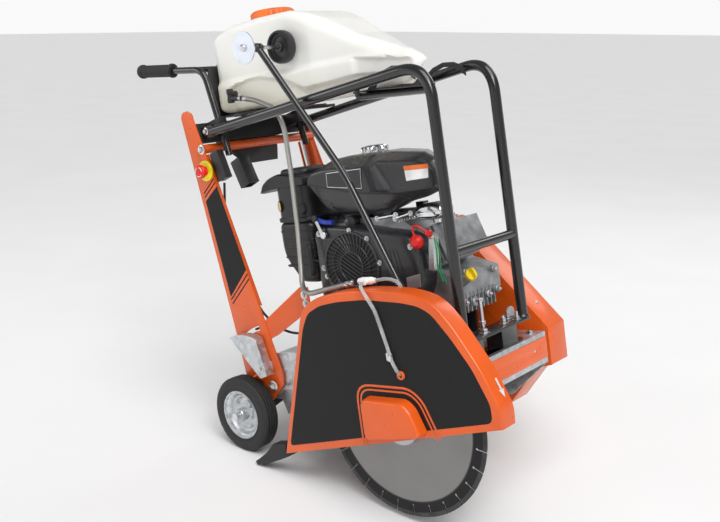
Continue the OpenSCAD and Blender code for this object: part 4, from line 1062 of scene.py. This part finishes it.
HOSE = [(-474, 106, 769), (-425, 102, 758), (-352, 96, 728), (-326, 90, 680), (-317, 82, 577),
        (-308, 68, 431), (-300, 52, 340), (-284, 30, 298), (-240, 2, 284), (-177, 2, 296.5),
        (-84, 2, 313.4)]
SPRAY_A = [(-42, -18.3, 316.5), (-32, -42, 316), (-20, -47.5, 302), (4, -46.5, 263), (22, -46.5, 197),
           (30, -46.5, 164.5)]
SPRAY_B = [(-21.6, 2, 318), (8, 4, 322), (34, 14, 312), (39, 14, 280), (39, 14, 248.5)]


def build_hoses():
    hose = Piece("water_hose_braided", "braid")
    route = resampled(smooth_route(HOSE, 24, 8), 1.25)
    hose.tube(route, 6.2, 20, ripple=lambda i: 0.22 * (-1) ** i, uv=True)
    hose.done("water_hose", "bright_steel", 60)
    spray = Piece("spray_hose_clear", "clear")
    for points in (SPRAY_A, SPRAY_B):
        spray.tube(resampled(smooth_route(points, 12, 6), 3), 4, 20)
    spray.done("spray_hoses", "clear_hose", 60)
    black = Piece("tank_elbow", "plastic")
    black.lathe([(0, 0), (8, 0), (9, 1.5), (9, 21)], (-520, 104, 784), TO_FAR, 28)
    black.lathe([(0, 0), (8, 0), (9, 1.5), (9, 12), (8, 13), (8, 22), (9, 23), (9, 34), (8, 36), (0, 36)],
                (-520, 106, 762), UP, 28)
    black.tube([(-514, 106, 773), (-480, 106, 769.6)], 6.6, 24)
    black.done("hose_fittings", "black_plastic")
    clamps = Piece("hose_clamps", "bright")
    for a, b in (((-486, 106, 770.2), (-476, 105.6, 769)), ((-466, 105.2, 767.4), (-456, 104.4, 765)),
                 ((-112, 2, 308.3), (-102, 2, 310.2)), ((-96, 2, 311.2), (-86, 2, 313))):
        direction = Vector(b) - Vector(a)
        clamps.lathe([(6.2, 0), (7.4, 0), (7.6, 1), (7.2, 2), (7.6, 3), (7.2, 4), (7.6, 5), (7.2, 6),
                      (7.6, 8), (7.4, 9), (6.2, 9)], a, direction, 30, closed=True)
        side = Vector(a) + direction * 0.5 + Vector((0, -7.6, 0))
        clamps.hexagon(side - Vector((3.5, 0, 0)), AHEAD, 3.4, 8, 1)
    # Clips that hold the two spray hoses on the guard
    clamps.box((16, -42.4, 150), (33, -40.2, 166))
    clamps.lathe([(4.3, 0), (5.4, 0), (5.4, 12), (4.3, 12)], (29.6, -46.5, 151), UP, 24, closed=True)
    clamps.lathe([(0, 0), (3.6, 0), (3.2, 1.6), (0, 2)], (25, -41.5, 157), TO_NEAR, 20)
    clamps.lathe([(4.3, 0), (5.4, 0), (5.4, 10), (4.3, 10)], (39, 14, 238), UP, 24, closed=True)
    clamps.done(slot="bright_steel")
    tee = Piece("hose_tee", "tee")
    tee.lathe([(0, -8), (6.4, -8), (7.4, -6), (7.4, 0), (8.6, 1), (8.6, 30), (7.4, 31), (6, 40), (5.2, 41),
               (0, 41)], (-64, 2, 316.3), (1, 0, 0.04), 28)
    tee.lathe([(0, 0), (6, 0), (6, 14), (7, 15), (6.2, 20), (0, 20)], (-50, 2, 316.5), (0.37, -0.93, 0), 24)
    tee.done(slot="clear_hose")
    grommet = Piece("hose_grommet", "orange_dark")
    grommet.lathe([(4.5, -44), (6, -45.5), (9, -45), (10, -43), (10, -40), (5, -40)], (50, 0, 118),
                  TO_FAR, 36, closed=True)
    grommet.done(slot="rubber_black")
    tail = Piece("spray_tail", "clear")
    route = smooth_route([(30, -46.5, 166), (33, -46.3, 150), (43, -45.5, 128), (50, -41, 118)], 8, 5)
    tail.tube(route, 4, 20)
    tail.done(slot="clear_hose")


def build_stop_control():
    button = Piece("stop_mushroom", "red", "stop_button_body")
    button.lathe([(0, 24), (8, 24.3), (14, 26), (17, 29), (18, 32), (17.6, 35), (15, 36), (11, 36),
                  (11, 62), (0, 62)], (-595, 0, 599), TO_FAR, 48)
    button.done("stop_button", "red_plastic", 40)
    marks = Piece("stop_marks", "white", "stop_button_body")
    for turn in (0, 120, 240):
        arc = []
        for k in range(7):
            a = math.radians(turn + k * 11)
            arc.append((-595 + 12 * math.cos(a), 24.7, 599 + 12 * math.sin(a)))
        marks.tube(arc, 0.9, 8)
    marks.done(slot="red_plastic")
    cable = Piece("stop_cable_sheath", "rubber")
    route = [(-556, 72, 562), (-578, 78, 490), (-568, 80, 390), (-538, 80, 290), (-494, 80.2, 215),
             (-448, 80.2, 180), (-405, 80, 166), (-360, 80, 164), (-322, 84, 190), (-300, 84, 230)]
    cable.tube(resampled(smooth_route(route, 20, 6), 4), 3.2, 16)
    cable.done("stop_cable", "rubber_black", 60)
    post = Piece("post_sticker", "vinyl")
    post.prism([(-562, 557), (-615, 520), (-575, 264), (-499, 336)], 49.65, 50.1)
    for a, b in (((-570, 577), (-617, 541)), ((-565, 568), (-616, 531)), ((-496, 325), (-575, 256)),
                 ((-492, 313), (-572, 245))):
        low, high = Vector(a), Vector(b)
        across_line = (high - low).normalized()
        side = Vector((-across_line.y, across_line.x)) * 1.7
        post.prism([low + side, low - side, high - side, high + side], 49.65, 50.1)
    post.done(slot="black_plastic")


build_water_tank()
build_hoses()
build_stop_control()

# ---------------------------------------------------------------- engine

def rounded_block(piece, x0, x1, y0, y1, z0, z1, power=6, along="x", count=18, around=48, round_end=10,
                  squeeze=None):
    """Soft-edged block: superellipse sections along X or Z with rounded ends."""
    lo, hi = (x0, x1) if along == "x" else (z0, z1)
    rings = []
    for i in range(count + 1):
        s = lo + (hi - lo) * (0.5 - 0.5 * math.cos(math.pi * i / count))
        end = min(1.0, (s - lo) / round_end, (hi - s) / round_end)
        inset = round_end * (1 - math.sqrt(max(0.0, 1 - (1 - end) ** 2)))
        k = squeeze(s) if squeeze else (0, 0, 0, 0)
        if along == "x":
            a0, a1, b0, b1 = y0 + k[0], y1 - k[1], z0 + k[2], z1 - k[3]
        else:
            a0, a1, b0, b1 = x0 + k[0], x1 - k[1], y0 + k[2], y1 - k[3]
        ca, cb, ra, rb = (a0 + a1) / 2, (b0 + b1) / 2, (a1 - a0) / 2 - inset, (b1 - b0) / 2 - inset
        ring = []
        for n in range(around):
            da, db = superellipse(TAU * n / around, ra, rb, power)
            ring.append((s, ca + da, cb + db) if along == "x" else (ca + da, cb + db, s))
        rings.append(ring)
    piece.loops(rings)


def build_fuel_tank():
    tank = Piece("fuel_tank_pressed", "tin")
    seam = [(-286, 538), (-269, 534), (-214, 523), (-129, 508), (-63, 503), (-13, 500), (97, 505), (105, 507)]
    top = [(-286, 550), (-276, 562), (-258, 576), (-225, 588), (-180, 592), (-40, 592), (60, 583),
           (88, 569), (101, 548), (105, 530)]
    floor = [(-286, 530), (-272, 508), (-256, 484), (-240, 468), (-212, 456), (-90, 451), (-40, 457),
             (0, 472), (60, 482), (92, 492), (105, 500)]
    rings, count = [], 96
    for i in range(count + 1):
        x = -285.5 + 390 * (0.6 * i / count + 0.4 * (0.5 - 0.5 * math.cos(math.pi * i / count)))
        z_top, z_seam, z_floor = curve(top, x), curve(seam, x), curve(floor, x)
        end = min(1.0, (x + 286) / 24, (105 - x) / 24)
        pull = 22 * (1 - math.sqrt(max(0.0, 1 - (1 - end) ** 2)))
        shoulder = z_seam + (z_top - z_seam) * (0.66 + 0.12 * smoothstep(-80, -50, x))
        profile = [(150, z_floor), (116 + pull, z_floor + 1), (106 + pull, z_floor + 8),
                   (96 + pull, z_floor + (z_seam - z_floor) * 0.6),
                   (92 + pull, z_seam - 4), (90 + pull, z_seam - 1.5), (85.2 + pull, z_seam - 1),
                   (85.2 + pull, z_seam + 1.2), (87 + pull, z_seam + 2), (87 + pull, z_seam + 6)]
        profile += [(87 + pull + 2 * k / 7, z_seam + 6 + (shoulder - 4 - z_seam - 6) * k / 7)
                    for k in range(1, 8)]
        profile += [(90.5 + pull, shoulder), (94 + pull, shoulder + 2.5), (124 + pull, z_top - 6),
                    (134 + pull, z_top - 2.5), (160, z_top)]
        ring = []
        for y, z in profile:
            # Slanting hollow between the two raised panels of the near side
            lean = (z - 503) / 68
            hollow = (smoothstep(-72 - 20 * lean, -66 - 20 * lean, x)
                      * smoothstep(-8 - 48 * lean, -34 - 48 * lean, x))
            ring.append((x, y + 6 * hollow * (z > z_seam + 5) * (y < 128 + pull), z))
        ring += [(x, 415 - y, z) for y, z in reversed(profile)]
        # The right end runs back and to the left, clear of the muffler
        rings.append([(-285.5 + (px + 285.5) * (1 - 0.73 * max(0.0, y - 125) / 391), y, z)
                      for px, y, z in ring])
    tank.loops(rings)
    tank.lathe([(30, 588), (27, 594), (24, 596), (24, 600), (0, 600)], (-142, 200, 0), UP, 40)
    for y in (170, 300):
        tank.box((-110, y - 10, 441), (-86, y + 10, 456))
    tank.done("fuel_tank", "black_steel", 50)
    plate = Piece("tank_panel", "black")
    corners = [(-208, 526), (-102, 516), (-98, 561), (-206, 558)]
    plate.prism(round_outline(corners, 3, 3), 86.4, 88.6)
    plate.done(slot="black_steel")
    border = Piece("tank_panel_border", "label")
    for a, b in zip(corners, corners[1:] + corners[:1]):
        border.tube([(a[0], 86.6, a[1]), (b[0], 86.6, b[1])], 0.8, 8)
    border.done(slot="bright_steel")
    label = Piece("tank_blank_label", "white")
    label.prism([(32, 524), (92, 527), (94, 547), (30, 547)], 86.0, 88.2)
    label.done(slot="black_steel")
    header = Piece("tank_label_header", "cap")
    header.prism([(30, 547.4), (94, 547.4), (95, 557), (28, 557)], 86.0, 88.6)
    header.done(slot="orange_plastic")
    cap = Piece("fuel_cap_chrome", "chrome", "fuel_cap_body")
    rows = ((34, 0, 1), (34, 11, 1), (31, 15, 0.5), (24, 16.6, 0), (18, 17, 0), (15, 15.5, 0))
    ribbed_cap(cap, Vector((-142, 200, 592.6)), rows, rib_depth=1.6, rib_steps=8, steps=96,
               hollow=(24.6, 8.2))
    cap.done("fuel_cap", "chrome_steel", 30)


def build_fan_housing():
    cx, cz = -168, 332
    shell = Piece("fan_housing_shell", "tin")
    edge = [(-284, 235), (-250, 204), (-60, 204), (0, 222), (35, 290), (36, 370), (8, 402), (-90, 415),
            (-170, 428), (-248, 434), (-284, 418)]
    outer = round_outline(edge, 20, 6)
    wall = [[(p.x, 149.8, p.y) for p in outer], [(p.x, 104, p.y) for p in outer]]
    for inset, y in ((1.5, 98), (5, 94), (11, 91.5)):
        wall.append([(p.x, y, p.y) for p in offset_outline(outer, inset)])
    shell.loops(wall)
    for r0, r1, lift in ((80, 86, 87.4), (56, 59, 87.8), (33, 37, 87.2)):
        shell.lathe([(r0, 92), (r0, lift + 1), (r0 + 1, lift), (r1 - 1, lift), (r1, lift + 1), (r1, 92)],
                    (cx, 0, cz), TO_FAR, 96, closed=True)
    for k in range(40):
        a = TAU * k / 40
        for r0, r1, twist in ((36, 57, 0.16), (58, 81, 0.1)):
            p0 = Vector((cx + r0 * math.cos(a), 89.4, cz + r0 * math.sin(a)))
            p1 = Vector((cx + r1 * math.cos(a + twist), 89.4, cz + r1 * math.sin(a + twist)))
            shell.tube([p0, p1], 1.6, 6)
    for k in range(-3, 4):
        reach = math.sqrt(max(0, 34 ** 2 - (k * 9) ** 2))
        middle = Vector((cx + 0.53 * k * 9, 89, cz + 0.848 * k * 9))
        along = Vector((0.848, 0, -0.53)) * reach
        shell.tube([middle - along, middle + along], 1.9, 6)
    for z, x0, x1 in ((250, -262, -100), (398, -262, -200)):
        shell.box((x0, 90.2, z), (x1, 92.5, z + 5))
    for x, tilt in ((-46, 10), (-34, 12), (-22, 14)):
        shell.box((x, 90.0, 296), (x + 4, 93, 372), turn=tilt, about=(x, 334))
    shell.done("fan_housing", "black_plastic", 35)
    recess = Piece("grille_recess", "rubber")
    recess.lathe([(0, 91.2), (82, 91.2), (82, 92.2), (0, 92.2)], (cx, 0, cz), TO_FAR, 64)
    recess.done(slot="black_plastic")
    label = Piece("blank_label", "label")
    label.prism([(-8, 278), (30, 284), (32, 314), (-8, 306)], 90.2, 91.8)
    label.done(slot="bright_steel")
    screws = Piece("housing_screws", "bright")
    for x, z in ((-264, 414), (14, 376), (14, 258), (-240, 226), (-262, 330)):
        screws.bolt((x, 92.2, z), TO_NEAR, 5, 3)
    for a in (0.1, 0.85, 1.5, 3.4):
        screws.bolt((cx + 88 * math.cos(a), 90, cz + 88 * math.sin(a)), TO_NEAR, 4.4, 3)
    screws.done(slot="bright_steel")


def build_air_cleaner():
    body = Piece("air_cleaner_body", "plastic")
    rounded_block(body, -424, -304, 107, 234, 440, 562, 3.4, "z", 20, 64, 12)
    rounded_block(body, -410, -312, 120, 222, 556, 577, 4, "z", 8, 56, 9)
    rounded_block(body, -427, -302, 105, 237, 444, 456, 4, "z", 6, 64, 3)

    def taper(z):
        t = smoothstep(400, 288, z)
        return (46 * t * t, 0, 4 * t, 12 * t)

    rounded_block(body, -425, -304, 109, 231, 288, 446, 5, "z", 26, 56, 16, squeeze=taper)
    for z in (330, 352, 374, 396, 418):
        rounded_block(body, -427 + (418 - z) * 0.1, -303, 107.5, 232, z, z + 5, 5, "z", 5, 56, 2)
    body.box((-306, 160, 340), (-274, 220, 400))
    body.done("air_cleaner", "black_plastic", 45)
    visor = Piece("air_cleaner_visor", "plastic")
    outline = [(-466, 520), (-424, 528), (-304, 534), (-304, 556), (-400, 568), (-430, 560), (-452, 546)]
    rings = []
    for y, grow in ((104.5, -9), (106, -4), (110, -1), (118, 0), (224, 0), (232, -1), (236, -4), (237.5, -9)):
        inset = -grow if abs(grow) < 4 else 3
        rings.append([(p.x, y, p.y) for p in offset_outline(round_outline(outline, 7, 4), inset)])
    visor.loops(rings)
    visor.done(slot="black_plastic")
    knob = Piece("cleaner_knob", "rubber")
    rings = []
    for r, y in ((13, 107), (13, 99), (11, 96.5), (4, 96)):
        rings.append([(-318 + (r - 1.8 * (k % 10 < 5)) * math.cos(TAU * k / 60), y,
                       476 + (r - 1.8 * (k % 10 < 5)) * math.sin(TAU * k / 60))
                      for k in range(60)])
    rings.append([(-318, 96, 476)])
    knob.loops(rings, closed_ends=False)
    knob.done(slot="black_plastic")
    badge = Piece("cleaner_badge", "brass")
    badge.lathe([(0, 0), (14, 0), (15, 1), (13, 2.2), (12, 1.6), (0, 1.6)], (-404, 110.5, 486),
                (-0.62, -1, 0), 40)
    badge.done(slot="brass_nut")


def build_engine_block():
    block = Piece("engine_castings", "alloy").copy_node("engine_block")
    block.bevel(0.0022, 2).done("engine_block", "cast_alloy")
    parts = Piece("engine_bosses", "alloy")
    for y, z, r in ((165, 232, 9), (205, 226, 12), (262, 232, 9), (300, 236, 9), (178, 300, 8),
                    (292, 286, 8)):
        parts.lathe([(0, 0), (r, 0), (r, 7), (r * 0.8, 9), (0, 9)], (87, y, z), AHEAD, 28)
    for y in range(176, 300, 16):
        parts.box((60, y, 206), (90, y + 4, 250))
    for k in range(10):
        a = TAU * k / 10
        fin = (-168 + 66 * math.cos(a), 337, 332 + 66 * math.sin(a))
        parts.lathe([(0, 0), (8, 0), (7, 5), (0, 5)], fin, TO_FAR, 20)
    parts.done(slot="cast_alloy")
    screws = Piece("engine_screws", "bright")
    for y, z in ((165, 232), (262, 232), (300, 236), (178, 300), (292, 286)):
        screws.bolt((96, y, z), AHEAD, 5.5, 4, washer=False)
    for a, b in (((-97, 122, 440), (-40, 122, 446)), ((-40, 118, 438), (6, 118, 448))):
        screws.tube([a, b], 3.2, 12)
        screws.bolt(a, TO_NEAR, 4.6, 3)
        screws.bolt(b, TO_NEAR, 4.6, 3)
    screws.box((50, 110, 318), (64, 128, 404), turn=-8, about=(57, 360))
    screws.bolt((60, 110, 398), TO_NEAR, 6, 4)
    screws.done(slot="bright_steel")
    spring = Piece("governor_spring", "bright")
    turns = [(-30 + k * 1.1, 108 + 3.4 * math.cos(k * 0.9), 432 + 3.4 * math.sin(k * 0.9) + k * 0.18)
             for k in range(56)]
    spring.tube(turns, 0.8, 8)
    spring.done(slot="bright_steel")
    red = Piece("red_covers", "red")
    red.lathe([(0, 0), (14, 0), (16.5, 4), (16.5, 10), (12, 15), (8, 19), (0, 19)], (27, 106, 384),
              (0.2, -1, 0.1), 32)
    red.lathe([(0, 0), (8, 0), (8.5, 4), (6, 10), (0, 12)], (62, 106, 402), (0.1, -1, 0.3), 24)
    red.tube(smooth_route([(27, 96, 398), (24, 92, 420), (38, 94, 424), (60, 100, 406)], 10, 5), 2.2, 12)
    red.done(slot="red_plastic")
    wires = Piece("engine_wires", "green")
    wires.tube(smooth_route([(70, 110, 392), (76, 106, 360), (70, 108, 330), (78, 112, 292)], 14, 5), 1.8, 10)
    wires.tube(smooth_route([(74, 112, 388), (82, 108, 352), (74, 112, 318), (84, 116, 288)], 14, 5), 1.6, 10)
    wires.done(slot="rubber_black")
    plug = Piece("blue_connector", "blue")
    plug.tube(smooth_route([(-256, 92, 447), (-236, 90, 442), (-212, 92, 440)], 6, 4), 6, 16)
    plug.done(slot="black_plastic")


def build_muffler():
    guard = Piece("muffler_guard", "chrome")
    outline = [(-22, 438), (-8, 424), (40, 424), (60, 432), (64, 448), (54, 460), (34, 465), (2, 463),
               (-16, 452)]
    rings = []
    for k in range(13):
        t = math.pi * k / 12
        shrunk = offset_outline(round_outline(outline, 7, 5), 10 * (1 - math.sin(t)) ** 1.6)
        rings.append([(p.x, 187 - 28.6 * math.cos(t), p.y) for p in shrunk])
    guard.loops(rings)
    guard.lathe([(0, 416.2), (12, 416.2), (12, 426), (0, 426)], (26, 192, 0), UP, 28)
    guard.done("muffler", "chrome_steel", 40)
    holes = Piece("muffler_holes", "rubber")
    for x, z in ((2, 440), (22, 446), (42, 450), (12, 454), (33, 436)):
        holes.lathe([(0, 0), (3.6, 0), (3.6, 0.8), (0, 0.8)], (x, 159.3, z), TO_NEAR, 18)
    holes.done(slot="rubber_black")
    # Carburettor and its linkage fill the gap under the fuel tank
    carb = Piece("carburettor", "iron")
    carb.lathe([(0, 0), (22, 0), (24, 3), (24, 30), (20, 34), (20, 60), (24, 64), (24, 76), (0, 76)],
               (-300, 190, 428), AHEAD, 40)
    carb.box((-226, 152, 421), (-150, 262, 448))
    carb.box((-150, 168, 420), (-52, 250, 446))
    carb.lathe([(0, 0), (13, 0), (14, 2), (14, 16), (11, 20), (0, 20)], (-190, 152, 436), TO_NEAR, 28)
    carb.done(slot="grey_cast_iron")


def build_small_controls():
    dip = Piece("dipstick_handle", "yellow", "dipstick_body")
    end, axis = Vector((118, 158, 296)), Vector((60, -14, 34)).normalized()
    dip.lathe([(0, -14), (7.9, -14), (7.9, 0.5), (14, 0.5), (14.4, 2), (14, 8), (11, 9), (0, 9)], end, axis,
              36)
    u, v = unit_axes(axis)
    grip = []
    outline = ((8, -11), (8, 11), (16, 12.5), (21, 9), (22, 0), (21, -9), (16, -12.5))
    for half_width in (-2.6, 2.6):
        grip.append([end + axis * a + u * b + v * half_width for a, b in outline])
    dip.loops(grip)
    dip.bevel(1.0, 2, 60).done("dipstick", "yellow_plastic")
    pull = Piece("recoil_grip", "rubber", "recoil_body")
    pull.lathe([(0, 0), (5, 0.6), (8, 4), (7.4, 18), (7, 30), (8, 40), (7, 50), (7.4, 62), (8, 76),
                (5, 79.4), (0, 80)], (-306, 96, 310), UP, 36)
    pull.tube([(-302, 96, 350), (-302 + 197, 96, 350 - 34.8)], 2, 14)
    pull.done("recoil_handle", "black_plastic", 45)
    lever = Piece("throttle_blade", "bright", "throttle_body")
    c, s = math.cos(math.radians(25)), math.sin(math.radians(25))
    lever.lathe([(0, 80), (8, 80), (9, 81), (9, 87), (0, 87.7)], (-240, 0, 412), TO_FAR, 32)
    outline = [(-5, 0), (5, 0), (4, 40), (-4, 40)]
    lever.prism([(-240 + x * c - z * s, 412 + x * s + z * c) for x, z in outline], 80.5, 83.5)
    lever.done("throttle_lever", "black_plastic")
    tip = Piece("throttle_tip", "plastic", "throttle_body")
    tip.lathe([(0, 76), (6, 76), (8, 78), (8, 83), (6, 85), (0, 85)], (-240 - 46 * s, 0, 412 + 46 * c),
              TO_FAR, 28)
    tip.done(slot="black_plastic")


build_fuel_tank()
build_fan_housing()
build_air_cleaner()
build_engine_block()
build_muffler()
build_small_controls()
